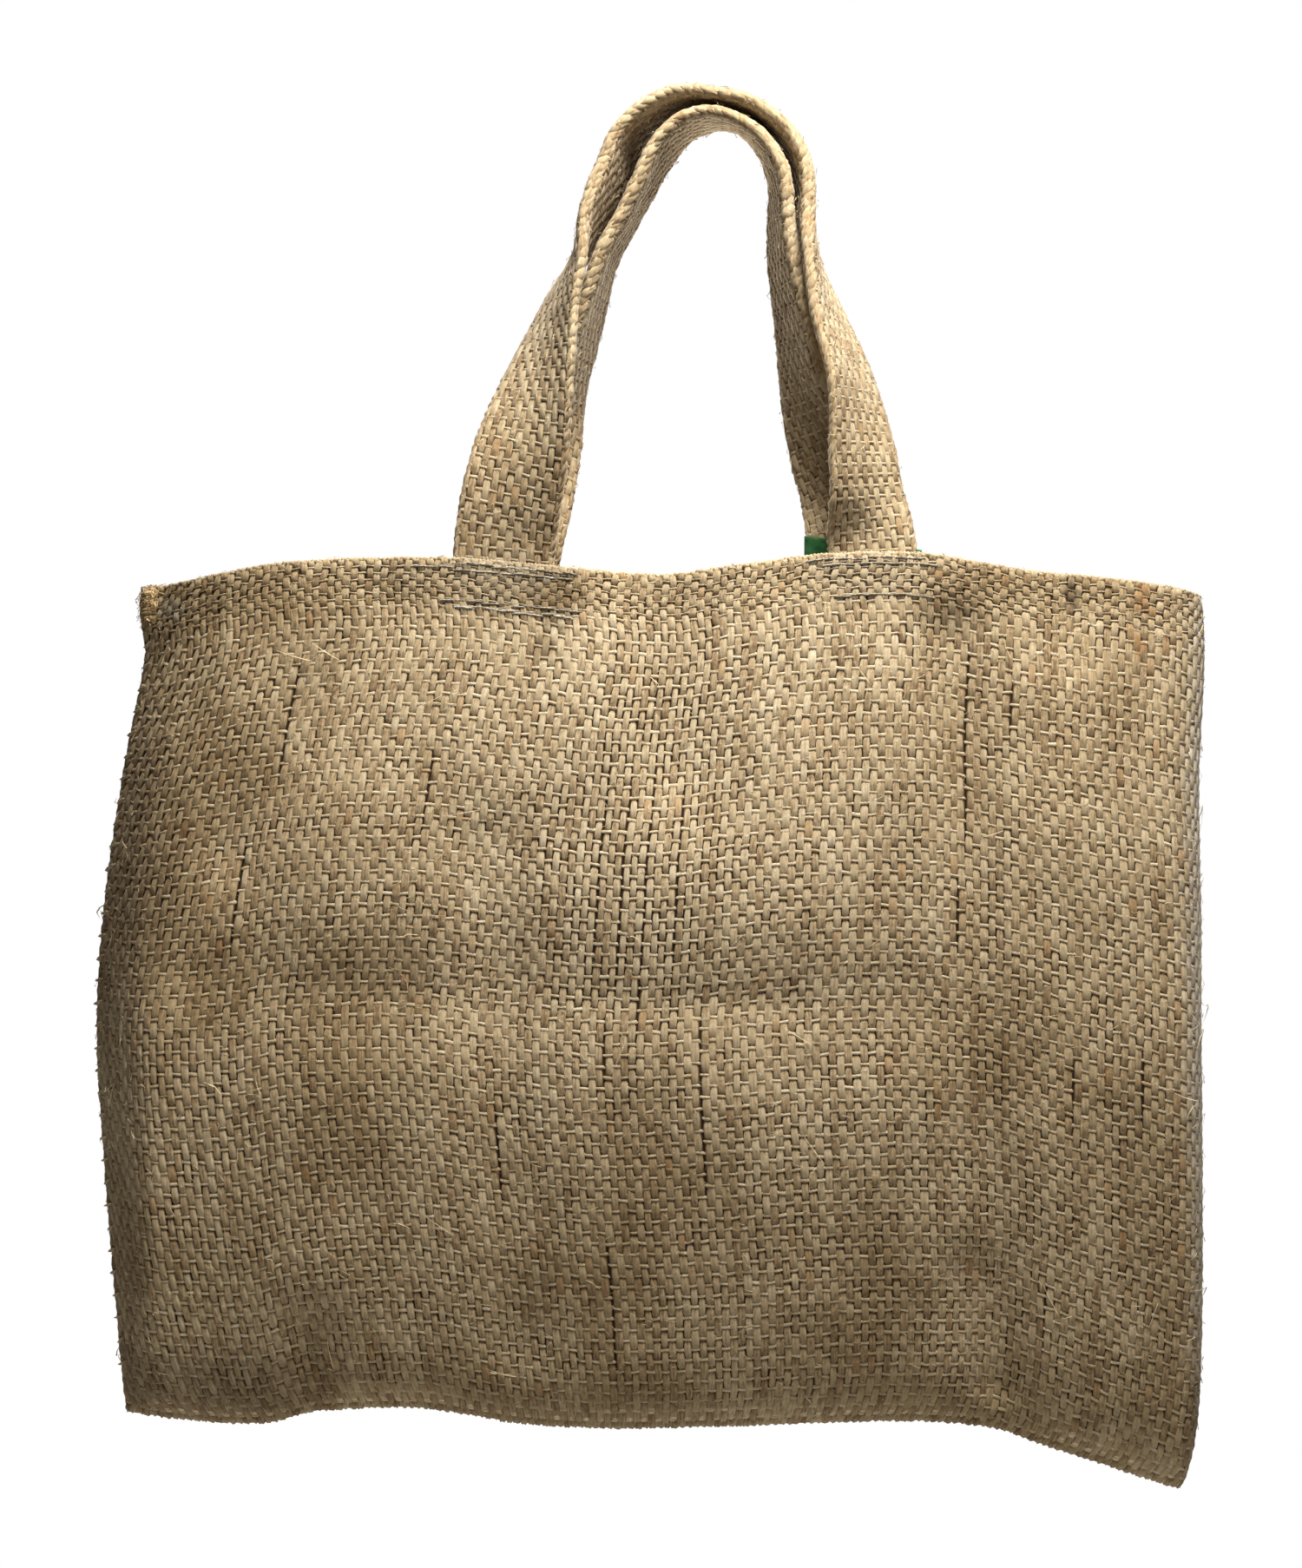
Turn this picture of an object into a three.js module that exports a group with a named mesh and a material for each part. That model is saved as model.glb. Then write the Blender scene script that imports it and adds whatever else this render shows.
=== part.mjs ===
// A coarse hemp tote bag, hanging by its two handles with its mouth pulled almost shut.
// Millimetres, +Z up. X runs across the bag, -Y is its front. The origin is the hanging point,
// just under the crown of the back handle, which is the inner one of the two.
import * as THREE from "three";

// Driving sizes of the cloth and of what is sewn from it.
const CLOTH = 2.4; // one layer of coarse weave, crown to crown
const HEM = { height: 21, wall: 4.2, fade: 3 }; // the top edge, turned in
const SEAM = { half: 2.4, allowance: 5 }; // the left side seam
const KNOB = { swell: 2.2, across: 9, drop: 10 }; // frayed cloth at the top of the seam
const BASE_ALLOWANCE = 6; // cloth joined solid along the bottom
const STRAP = { sewn: 5.5, corner: 2, steps: 56, across: 4 }; // sewn: the thickness in the hem
const STRAP_LEAVES = { from: 2, to: 26 }; // heights above the rim between which a strap comes free
const LABEL = { left: 45, right: 101, topLeft: -192, topRight: -198.5, tall: 31, thick: 1 };
const LABEL_LEAN = 0.1; // how far the label leans off the strap, for each mm above the rim
const GAP = 0.55; // between two pieces that are sewn together

// The body at ten heights: `at` runs from the rim, 0, to the bottom edge, 1. left and right are
// its edges, front and back the depths of its faces.
const BODY = [
  { at: 0.0, left: -271, right: 233.5, front: -20, back: 16 },
  { at: 0.03, left: -272, right: 234.5, front: -21, back: 17 },
  { at: 0.08, left: -270, right: 234.5, front: -23, back: 18 },
  { at: 0.2, left: -279, right: 232, front: -27, back: 20 },
  { at: 0.36, left: -288.5, right: 232.5, front: -31, back: 22 },
  { at: 0.53, left: -293, right: 232.5, front: -32, back: 22 },
  { at: 0.72, left: -288.5, right: 233, front: -28, back: 20 },
  { at: 0.88, left: -283, right: 232.5, front: -20, back: 16 },
  { at: 0.96, left: -280, right: 229.5, front: -12, back: 12 },
  { at: 1.0, left: -278, right: 226, front: 0.5, back: 6.5 },
];

// The side edges at the same heights: seam and fold are the depths of the left and the right one,
// and leftTurn and rightTurn say how wide a band of the face turns away to it.
const SIDES = [
  { at: 0.0, seam: 5, fold: 0, leftTurn: 50, rightTurn: 32 },
  { at: 0.03, seam: 5, fold: 0, leftTurn: 50, rightTurn: 32 },
  { at: 0.08, seam: 6, fold: 0, leftTurn: 50, rightTurn: 31 },
  { at: 0.2, seam: 7, fold: 1, leftTurn: 50, rightTurn: 29 },
  { at: 0.36, seam: 7, fold: 1, leftTurn: 46, rightTurn: 26 },
  { at: 0.53, seam: 7, fold: 1, leftTurn: 40, rightTurn: 22 },
  { at: 0.72, seam: 6, fold: 1, leftTurn: 33, rightTurn: 18 },
  { at: 0.88, seam: 5, fold: 2, leftTurn: 26, rightTurn: 14 },
  { at: 0.96, seam: 4, fold: 3, leftTurn: 20, rightTurn: 11 },
  { at: 1.0, seam: 3.5, fold: 3.5, leftTurn: 16, rightTurn: 9 },
];

// Heights of the top and bottom edges: `at` runs across the body from left, 0, to right, 1.
const RIM = [
  { at: 0.0, z: -216.5 },
  { at: 0.035, z: -215.5 },
  { at: 0.09, z: -210.5 },
  { at: 0.15, z: -206 },
  { at: 0.29, z: -204 },
  { at: 0.39, z: -208 },
  { at: 0.49, z: -211.5 },
  { at: 0.56, z: -207.5 },
  { at: 0.64, z: -202.5 },
  { at: 0.73, z: -202 },
  { at: 0.83, z: -210 },
  { at: 0.93, z: -215 },
  { at: 1.0, z: -221 },
];
const BOTTOM = [
  { at: 0.0, z: -609.5 },
  { at: 0.07, z: -613.5 },
  { at: 0.135, z: -614.5 },
  { at: 0.18, z: -609 },
  { at: 0.28, z: -607.5 },
  { at: 0.37, z: -614.5 },
  { at: 0.46, z: -617 },
  { at: 0.6, z: -615.5 },
  { at: 0.74, z: -613.5 },
  { at: 0.82, z: -617 },
  { at: 0.86, z: -624 },
  { at: 1.0, z: -647 },
];

// Soft folds, each along a line from one point to another. reach is the half-width, and a
// positive depth presses the cloth into the bag.
const FRONT_FOLDS = [
  { name: "fold at the drop", fromX: 112, fromZ: -240, toX: 137, toZ: -615, reach: 15, depth: 7 },
  { name: "swell right of it", fromX: 165, fromZ: -270, toX: 188, toZ: -600, reach: 22, depth: -4 },
  { name: "pull of the left handle", fromX: -150, fromZ: -225, toX: -222, toZ: -340, reach: 17, depth: 5 },
  { name: "swell left of the middle", fromX: -170, fromZ: -330, toX: -190, toZ: -540, reach: 34, depth: -4 },
  { name: "sag of the mouth", fromX: -22, fromZ: -205, toX: -14, toZ: -300, reach: 27, depth: 5 },
  { name: "middle crease", fromX: -50, fromZ: -405, toX: 75, toZ: -411, reach: 7, depth: 2.5 },
  { name: "soft pleat", fromX: -100, fromZ: -340, toX: -92, toZ: -570, reach: 20, depth: 4 },
  { name: "lift of the bottom edge", fromX: -192, fromZ: -612, toX: -186, toZ: -560, reach: 13, depth: 5 },
];
const BACK_FOLDS = [
  { name: "left back fold", fromX: -135, fromZ: -250, toX: -150, toZ: -560, reach: 30, depth: 4 },
  { name: "right back fold", fromX: 112, fromZ: -260, toX: 130, toZ: -600, reach: 24, depth: 5 },
  { name: "back sag of the mouth", fromX: -20, fromZ: -205, toX: -10, toZ: -280, reach: 30, depth: 3 },
];

// The handles' centre lines from the left end to the right. turn is how far the strap has
// twisted from lying in the bag's face to lying across it, and width is its real width there.
const FRONT_STRAP = [
  { x: -97, y: -13, z: -225, turn: 0, width: 48, thick: 5.5 },
  { x: -97, y: -13, z: -204, turn: 0, width: 48, thick: 5.5 },
  { x: -93, y: -16, z: -175, turn: 5, width: 47.5, thick: 5.5 },
  { x: -88.5, y: -17, z: -154, turn: 16, width: 47, thick: 5.5 },
  { x: -82, y: -15, z: -124, turn: 40, width: 46, thick: 5.5 },
  { x: -72.7, y: -10, z: -88.6, turn: 68, width: 46, thick: 5.5 },
  { x: -64.8, y: -7.5, z: -67.3, turn: 83, width: 46, thick: 6.2 },
  { x: -59, y: -5, z: -52.6, turn: 95, width: 46, thick: 7.2 },
  { x: -52.5, y: -3, z: -37.7, turn: 102, width: 46, thick: 8 },
  { x: -45.4, y: -1, z: -22.4, turn: 105, width: 46, thick: 8 },
  { x: -39.1, y: 0, z: -7.6, turn: 104, width: 46, thick: 7.5 },
  { x: -26, y: 0, z: 6.3, turn: 98, width: 46, thick: 7 },
  { x: -12.9, y: 0, z: 13.3, turn: 90, width: 46, thick: 6.6 },
  { x: 0.2, y: 0, z: 14.5, turn: 83, width: 46, thick: 6.5 },
  { x: 16.1, y: 0, z: 11.8, turn: 82, width: 46, thick: 6.7 },
  { x: 31, y: 0, z: 1.2, turn: 86, width: 46, thick: 7.2 },
  { x: 40.1, y: 0, z: -12.3, turn: 91, width: 45, thick: 7.6 },
  { x: 43.9, y: -1, z: -27.5, turn: 93, width: 45, thick: 8 },
  { x: 45, y: -3, z: -43.2, turn: 91, width: 44, thick: 8 },
  { x: 47.6, y: -6, z: -59.4, turn: 85, width: 44, thick: 7.4 },
  { x: 55.9, y: -11, z: -90.3, turn: 67, width: 43, thick: 5.8 },
  { x: 66.2, y: -15, z: -122, turn: 56, width: 43, thick: 5.5 },
  { x: 71, y: -17, z: -156, turn: 38, width: 42, thick: 5.5 },
  { x: 73, y: -16, z: -176, turn: 30, width: 42, thick: 5.5 },
  { x: 75.5, y: -13, z: -199, turn: 6, width: 42, thick: 5.5 },
  { x: 76, y: -13, z: -221, turn: 0, width: 42, thick: 5.5 },
];
const BACK_STRAP = [
  { x: -94.5, y: 9, z: -225, turn: 0, width: 46, thick: 5.5 },
  { x: -94.5, y: 9, z: -204, turn: 0, width: 46, thick: 5.5 },
  { x: -89, y: 11, z: -178, turn: 12, width: 46, thick: 5.5 },
  { x: -81, y: 13, z: -151, turn: 36, width: 46, thick: 5.8 },
  { x: -69, y: 10, z: -124, turn: 73, width: 46, thick: 6.5 },
  { x: -61, y: 7, z: -99, turn: 80, width: 46, thick: 6.6 },
  { x: -54.7, y: 4, z: -78, turn: 86, width: 46, thick: 7 },
  { x: -49.4, y: 2, z: -60.4, turn: 89, width: 46, thick: 8 },
  { x: -40.9, y: 1, z: -44.3, turn: 89, width: 46, thick: 8 },
  { x: -32.5, y: 0, z: -28.3, turn: 87, width: 46, thick: 8 },
  { x: -25, y: 0, z: -13.5, turn: 85, width: 46, thick: 7.5 },
  { x: -18.5, y: 0, z: -5, turn: 86, width: 46, thick: 7 },
  { x: -10.7, y: 0, z: 2, turn: 91, width: 46, thick: 6.8 },
  { x: -2, y: 0, z: 5, turn: 95, width: 46, thick: 6.5 },
  { x: 6, y: 0, z: 5.5, turn: 99, width: 46, thick: 6.5 },
  { x: 13.5, y: 0, z: 3.3, turn: 101, width: 46, thick: 6.5 },
  { x: 21, y: 0, z: -2.3, turn: 98, width: 46, thick: 6.8 },
  { x: 28, y: 0, z: -11.2, turn: 94, width: 46, thick: 7.3 },
  { x: 33, y: 0, z: -25, turn: 88, width: 46, thick: 8 },
  { x: 33.6, y: 1, z: -42.5, turn: 84, width: 46, thick: 8 },
  { x: 34.8, y: 2, z: -58.6, turn: 84, width: 46, thick: 8 },
  { x: 39.8, y: 5, z: -88, turn: 79, width: 46, thick: 8 },
  { x: 46.5, y: 9, z: -124, turn: 67, width: 46, thick: 8 },
  { x: 56, y: 12, z: -152, turn: 48, width: 45, thick: 7.5 },
  { x: 64, y: 12, z: -170, turn: 28, width: 45, thick: 6.5 },
  { x: 68, y: 9, z: -190, turn: 5, width: 44, thick: 5.5 },
  { x: 68.5, y: 9, z: -203, turn: 0, width: 44, thick: 5.5 },
  { x: 68.5, y: 9, z: -223, turn: 0, width: 44, thick: 5.5 },
];

// The folds die away over these distances from the side edges, and this share above the bottom.
const FOLDS_END = { left: 40, right: 45, bottom: 0.06 };

// How finely the sheets are divided. The base's rows crowd towards the bottom edge.
const COLUMNS = { left: 5, middle: 30, right: 6 };
const ROWS = { hem: 2, middle: 17, base: 3, baseStart: 0.93, crowding: 0.7 };
const LABEL_GRID = { columns: 8, rows: 5 };

const SEAM_LENGTH = RIM[0].z - BOTTOM[0].z;

const { clamp, degToRad, lerp, smoothstep } = THREE.MathUtils;

// One column of a table at a place between its rows, on a smooth curve through them.
function smooth(rows, column, at) {
  const last = rows.length - 1;
  let i = 0;
  while (i < last - 1 && at > rows[i + 1].at) i++;
  const slope = (k) => {
    const before = rows[Math.max(k - 1, 0)];
    const after = rows[Math.min(k + 1, last)];
    return (after[column] - before[column]) / (after.at - before.at);
  };
  const span = rows[i + 1].at - rows[i].at;
  const t = clamp((at - rows[i].at) / span, 0, 1);
  const start = rows[i][column];
  const end = rows[i + 1][column];
  const rise = (3 - 2 * t) * t * t;
  const bend = t * (1 - t) * span;
  return lerp(start, end, rise) + bend * ((1 - t) * slope(i) - t * slope(i + 1));
}

// How far the folds of one face press in at a point.
function foldDepth(folds, x, z) {
  let total = 0;
  for (const fold of folds) {
    const alongX = fold.toX - fold.fromX;
    const alongZ = fold.toZ - fold.fromZ;
    const length2 = alongX ** 2 + alongZ ** 2;
    const t = clamp(((x - fold.fromX) * alongX + (z - fold.fromZ) * alongZ) / length2, 0, 1);
    const away = Math.hypot(x - fold.fromX - t * alongX, z - fold.fromZ - t * alongZ);
    total += fold.depth * Math.exp(-((away / fold.reach) ** 2));
  }
  return total;
}

// The height of a point that lies at x, a share `down` of the way from rim to bottom.
function heightAt(x, down) {
  const left = smooth(BODY, "left", down);
  const right = smooth(BODY, "right", down);
  const across = clamp((x - left) / (right - left), 0, 1);
  return lerp(smooth(RIM, "z", across), smooth(BOTTOM, "z", across), down);
}

// The cloth is doubled in the hem.
function wallAt(down) {
  const drop = down * SEAM_LENGTH;
  return lerp(HEM.wall, CLOTH, smoothstep(drop, HEM.height, HEM.height + HEM.fade));
}

// The depth of the front (side -1) or back (side 1) face at x, before its wall is taken off.
function faceDepth(side, x, down) {
  const face = smooth(BODY, side < 0 ? "front" : "back", down);
  const seam = smooth(SIDES, "seam", down);
  const left = smooth(BODY, "left", down);
  const turned = clamp((x - left) / smooth(SIDES, "leftTurn", down), 0, 1);
  const fromKnob = ((x - left) / KNOB.across) ** 2 + ((down * SEAM_LENGTH) / KNOB.drop) ** 2;
  const edge = seam + side * (SEAM.half + KNOB.swell * Math.exp(-fromKnob));
  const share = Math.sin((turned * Math.PI) / 2);
  const folds = foldDepth(side < 0 ? FRONT_FOLDS : BACK_FOLDS, x, heightAt(x, down));
  const byRight = smoothstep(smooth(BODY, "right", down) - x, 0, FOLDS_END.right);
  const byLeft = smoothstep(x - left, 0, FOLDS_END.left);
  const byBottom = smoothstep(1 - down, 0, FOLDS_END.bottom);
  return lerp(edge, face, share) - side * folds * byRight * byLeft * byBottom;
}

// Where column i of a face lies. inset is 0 outside, and inside it is the wall.
function facePoint(side, i, down, inset) {
  const left = smooth(BODY, "left", down);
  const right = smooth(BODY, "right", down);
  const leftTurn = smooth(SIDES, "leftTurn", down);
  const rightTurn = smooth(SIDES, "rightTurn", down);
  const bandEnd = left + leftTurn;
  const foldStart = right - rightTurn;
  const start = inset ? left + SEAM.allowance : left;
  const beyond = i - COLUMNS.left - COLUMNS.middle;
  let x;
  let y;
  if (beyond <= 0) {
    const inBand = i / COLUMNS.left;
    const inMiddle = (i - COLUMNS.left) / COLUMNS.middle;
    x = inBand < 1 ? lerp(start, bandEnd, inBand) : lerp(bandEnd, foldStart, inMiddle);
    const slope = (faceDepth(side, x + 1, down) - faceDepth(side, x - 1, down)) / 2;
    y = faceDepth(side, x, down) - side * inset * Math.hypot(1, slope);
  } else {
    const turn = ((beyond / COLUMNS.right) * Math.PI) / 2;
    const fold = smooth(SIDES, "fold", down);
    const face = faceDepth(side, foldStart, down) - side * inset;
    x = foldStart + (rightTurn - inset) * Math.sin(turn);
    y = lerp(fold, face, Math.cos(turn));
  }
  return new THREE.Vector3(x, y, heightAt(x, down));
}

// The rows of the sheets, as shares of the way down.
function rowsDown(end) {
  const { hem, middle, base, baseStart, crowding } = ROWS;
  const hemShare = HEM.height / SEAM_LENGTH;
  const rows = [];
  for (let k = 0; k < hem; k++) rows.push((hemShare * k) / hem);
  for (let k = 0; k <= middle; k++) rows.push(lerp(hemShare, baseStart, k / middle));
  for (let k = 1; k <= base; k++) rows.push(lerp(baseStart, end, (k / base) ** crowding));
  return rows;
}

// A mesh from its corner points and its triangles.
function geometryOf(points, triangles) {
  const geometry = new THREE.BufferGeometry().setFromPoints(points);
  geometry.setIndex(triangles.flat());
  geometry.computeVertexNormals();
  return geometry;
}

// The sack: an outer and an inner skin, each a stack of rings, joined round the rim.
function sack() {
  const columns = COLUMNS.left + COLUMNS.middle + COLUMNS.right;
  const ringLength = 2 * columns + 1;
  const points = [];
  const triangles = [];
  const quad = (a, b, c, d) => triangles.push([a, b, c], [a, c, d]);
  const outerEnd = 1;
  const innerEnd = 1 - BASE_ALLOWANCE / SEAM_LENGTH;
  const skins = [outerEnd, innerEnd].map((end, skin) =>
    rowsDown(end).map((down) => {
      const first = points.length;
      const inset = skin ? wallAt(down) : 0;
      for (let i = 0; i <= columns; i++) points.push(facePoint(-1, i, down, inset));
      for (let i = columns - 1; i >= 0; i--) points.push(facePoint(1, i, down, inset));
      return first;
    }),
  );
  const next = (j) => (j + 1) % ringLength;
  const flip = (skin, a, b, c, d) => (skin ? quad(d, c, b, a) : quad(a, b, c, d));
  skins.forEach((rings, skin) => {
    for (let k = 0; k + 1 < rings.length; k++)
      for (let j = 0; j < ringLength; j++)
        flip(skin, rings[k] + j, rings[k + 1] + j, rings[k + 1] + next(j), rings[k] + next(j));
    const end = rings[rings.length - 1];
    for (let i = 0; i < columns; i++) {
      const back = ringLength - 1 - i;
      if (i + 1 < columns) flip(skin, end + i, end + back, end + back - 1, end + i + 1);
      else triangles.push(skin ? [end + i + 1, end + back, end + i] : [end + i, end + back, end + i + 1]);
    }
  });
  const [outer, inner] = skins;
  for (let j = 0; j < ringLength; j++)
    quad(outer[0] + next(j), inner[0] + next(j), inner[0] + j, outer[0] + j);
  return geometryOf(points, triangles);
}

// The height of the rim above x, and the depth of the hem's inner face there.
const rimAt = (x) => heightAt(x, 0);
function hemInside(side, x, z) {
  const down = clamp((rimAt(x) - z) / SEAM_LENGTH, 0, 1);
  return faceDepth(side, x, down) - side * HEM.wall;
}

// A strap's section: its corners as [share of the width, share of the thickness].
function strapSection(width, thick) {
  const edge = 0.5 - STRAP.corner / width;
  const flat = 0.5 - STRAP.corner / thick;
  const face = Array.from({ length: STRAP.across + 1 }, (_, k) => lerp(-edge, edge, k / STRAP.across));
  return [
    ...face.map((share) => [share, -0.5]),
    [0.5, -flat],
    [0.5, flat],
    ...face.toReversed().map((share) => [share, 0.5]),
    [-0.5, flat],
    [-0.5, -flat],
  ];
}

// A handle, swept along its table. side is the face of the bag that its ends are sewn to.
function strap(table, side) {
  let length = 0;
  const rows = table.map((row, k) => {
    const before = table[Math.max(k - 1, 0)];
    length += Math.hypot(row.x - before.x, row.y - before.y, row.z - before.z);
    return { ...row, at: length };
  });
  const place = (at) => new THREE.Vector3(...["x", "y", "z"].map((column) => smooth(rows, column, at)));
  const points = [];
  const triangles = [];
  const sides = strapSection(table[0].width, table[0].thick).length;
  for (let k = 0; k <= STRAP.steps; k++) {
    const at = (length * k) / STRAP.steps;
    const along = place(Math.min(at + 1, length)).sub(place(Math.max(at - 1, 0))).normalize();
    const turn = degToRad(smooth(rows, "turn", at));
    const outward = new THREE.Vector3(-along.z, 0, along.x).normalize().multiplyScalar(Math.cos(turn));
    const wide = outward.setY(-side * Math.sin(turn));
    wide.addScaledVector(along, -wide.dot(along)).normalize();
    const through = new THREE.Vector3().crossVectors(wide, along);
    const [width, thick] = [smooth(rows, "width", at), smooth(rows, "thick", at)];
    for (const [a, b] of strapSection(width, thick)) {
      const p = place(at).addScaledVector(wide, a * width).addScaledVector(through, b * thick);
      const behind = (side < 0 ? b + 0.5 : b - 0.5) * thick;
      const seat = hemInside(side, p.x, p.z) - side * GAP + behind;
      const free = smoothstep(p.z - rimAt(p.x), STRAP_LEAVES.from, STRAP_LEAVES.to);
      p.y = lerp(seat, p.y, free);
      points.push(p);
    }
  }
  for (let k = 0; k < STRAP.steps; k++)
    for (let j = 0; j < sides; j++) {
      const [a, b] = [k * sides + j, k * sides + ((j + 1) % sides)];
      triangles.push([a, b + sides, b], [a, a + sides, b + sides]);
    }
  const end = STRAP.steps * sides;
  for (let j = 1; j + 1 < sides; j++) triangles.push([0, j, j + 1], [end, end + j + 1, end + j]);
  return geometryOf(points, triangles);
}

// The label: a thin tab that follows the face of the back handle's end.
function label() {
  const { columns, rows } = LABEL_GRID;
  const points = [];
  const triangles = [];
  for (const front of [0, 1])
    for (let r = 0; r <= rows; r++)
      for (let c = 0; c <= columns; c++) {
        const x = lerp(LABEL.left, LABEL.right, c / columns);
        const z = lerp(LABEL.topLeft, LABEL.topRight, c / columns) - (LABEL.tall * r) / rows;
        const above = Math.max(0, z - rimAt(x));
        const seat = hemInside(1, x, z) - STRAP.sewn - 2 * GAP - LABEL_LEAN * above;
        points.push(new THREE.Vector3(x, seat - front * LABEL.thick, z));
      }
  const count = (rows + 1) * (columns + 1);
  const at = (front, r, c) => front * count + r * (columns + 1) + c;
  const quad = (a, b, c, d) => triangles.push([a, b, c], [a, c, d]);
  for (let r = 0; r < rows; r++)
    for (let c = 0; c < columns; c++) {
      quad(at(1, r, c), at(1, r + 1, c), at(1, r + 1, c + 1), at(1, r, c + 1));
      quad(at(0, r, c + 1), at(0, r + 1, c + 1), at(0, r + 1, c), at(0, r, c));
    }
  for (let c = 0; c < columns; c++) {
    quad(at(1, 0, c), at(1, 0, c + 1), at(0, 0, c + 1), at(0, 0, c));
    quad(at(0, rows, c), at(0, rows, c + 1), at(1, rows, c + 1), at(1, rows, c));
  }
  for (let r = 0; r < rows; r++) {
    quad(at(0, r, 0), at(0, r + 1, 0), at(1, r + 1, 0), at(1, r, 0));
    quad(at(1, r, columns), at(1, r + 1, columns), at(0, r + 1, columns), at(0, r, columns));
  }
  return geometryOf(points, triangles);
}

// One named piece of cloth.
function piece(name, geometry, colour, roughness) {
  const material = new THREE.MeshStandardMaterial({ color: colour, roughness, metalness: 0 });
  const mesh = new THREE.Mesh(geometry, material);
  mesh.name = name;
  return mesh;
}

const tote = new THREE.Group();
tote.add(
  piece("bag_body", sack(), 0xb99a68, 0.92),
  piece("front_handle", strap(FRONT_STRAP, -1), 0xc6a772, 0.92),
  piece("back_handle", strap(BACK_STRAP, 1), 0xbf9f6b, 0.92),
  piece("green_label", label(), 0x1f5a33, 0.7),
);

export default tote;
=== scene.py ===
# %% [markdown]
# # A coarse hemp tote bag, hung by its straps
#
# The bag is one length of very coarse plain-weave hemp, wrapped round at the right, seamed at
# the left and along the bottom, with its top turned in as a hem. Two straps of folded cloth are
# sewn inside the hem. This lesson builds its looks round the solids of the frame: first the
# cloth as smooth sheets, then every thread that shows, woven flat and wrapped on those sheets
# with Geometry Nodes, and at last stitches, loose fibres, wear, painted shade and painted light.

# %% The fixed frame
import math

import bpy
import numpy as np
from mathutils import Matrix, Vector, noise


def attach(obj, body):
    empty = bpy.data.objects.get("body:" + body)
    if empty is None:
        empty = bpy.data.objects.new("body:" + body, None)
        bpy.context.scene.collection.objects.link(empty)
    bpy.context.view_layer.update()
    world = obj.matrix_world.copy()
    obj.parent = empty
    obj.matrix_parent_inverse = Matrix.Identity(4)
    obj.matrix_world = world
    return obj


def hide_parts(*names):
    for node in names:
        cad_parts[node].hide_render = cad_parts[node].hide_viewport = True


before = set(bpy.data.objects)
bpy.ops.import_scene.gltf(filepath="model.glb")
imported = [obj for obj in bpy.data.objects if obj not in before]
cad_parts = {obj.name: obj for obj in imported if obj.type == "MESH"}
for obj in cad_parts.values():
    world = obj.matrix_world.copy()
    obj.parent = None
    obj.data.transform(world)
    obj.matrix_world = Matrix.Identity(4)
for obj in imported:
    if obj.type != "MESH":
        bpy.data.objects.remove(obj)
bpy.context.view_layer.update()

MM = 0.001  # the sizes below are in millimetres, and Blender's are in metres
print("frame nodes:", sorted(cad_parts))

# %% [markdown]
# ## Camera, floor and light
#
# The bag is seen level and from straight in front, from about a metre away. The focal length is
# known in pixels, so the lens follows from the picture's long side. The background is plain
# white: the world shows white to the camera but lights the bag far less, so that the key lamp,
# above and a little to the right, can model the folds. A weak lamp fills the shadows, one behind
# the bag draws its edges, and a small one reaches into the loop of the straps. The floor lies
# well below the bag.

# %% Camera, floor and light
SENSOR = 36.0
FOCAL_PIXELS, PICTURE_HEIGHT = 2500, 1806
CAMERA_PLACE = Vector((-28, -1030, -310)) * MM
FLOOR = {"height": -1000, "front": -2600, "back": 820, "half_width": 2400}
FLOOR_COLOUR, FLOOR_ROUGHNESS = (0.86, 0.86, 0.85, 1), 0.8
WORLD_SEEN, WORLD_LIGHT, WORLD_STRENGTH = (1, 1, 1, 1), (1, 0.95, 0.88, 1), 0.08
LAMPS = (  # name, place and aim in metres, size in metres, watts and colour
    ("key", (0.13, -0.36, 0.52), (0, 0, -0.32), 0.4, 22, (1, 0.985, 0.96)),
    ("fill", (0.9, -1.3, 0.1), (0, 0, -0.3), 1.0, 0.7, (1, 0.98, 0.96)),
    ("back", (-0.5, 1.1, 0.5), (0, 0, -0.3), 1.0, 9, (1, 0.99, 0.97)),
    ("loop", (0.0, 0.3, -0.2), (0, -0.02, -0.03), 0.2, 1.6, (1, 0.97, 0.93)),
)


def link(thing):
    """Puts an object into the scene."""
    bpy.context.scene.collection.objects.link(thing)
    return thing


def make_camera():
    lens = bpy.data.cameras.new("camera")
    lens.sensor_width = SENSOR
    lens.lens = SENSOR * FOCAL_PIXELS / PICTURE_HEIGHT
    camera = link(bpy.data.objects.new("camera", lens))
    camera.location = CAMERA_PLACE
    camera.rotation_euler = (math.pi / 2, 0, 0)
    bpy.context.scene.camera = camera


def make_lamp(name, place, aim, size, watts, colour):
    """A square soft box at a place, turned to its aim."""
    data = bpy.data.lights.new(name, "AREA")
    data.size, data.energy, data.color = size, watts, colour
    lamp = link(bpy.data.objects.new(name, data))
    lamp.location = place
    lamp.visible_camera = False
    lamp.rotation_euler = (Vector(aim) - Vector(place)).to_track_quat("-Z", "Y").to_euler()


def make_floor():
    x, front, back, z = (FLOOR[k] * MM for k in ("half_width", "front", "back", "height"))
    mesh = bpy.data.meshes.new("floor")
    corners = [(-x, front, z), (x, front, z), (x, back, z), (-x, back, z)]
    mesh.from_pydata(corners, [], [(0, 1, 2, 3)])
    material = bpy.data.materials.new("pale_floor")
    material.use_nodes = True
    shader = material.node_tree.nodes["Principled BSDF"]
    shader.inputs["Base Color"].default_value = FLOOR_COLOUR
    shader.inputs["Roughness"].default_value = FLOOR_ROUGHNESS
    mesh.materials.append(material)
    link(bpy.data.objects.new("floor", mesh))


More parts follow.
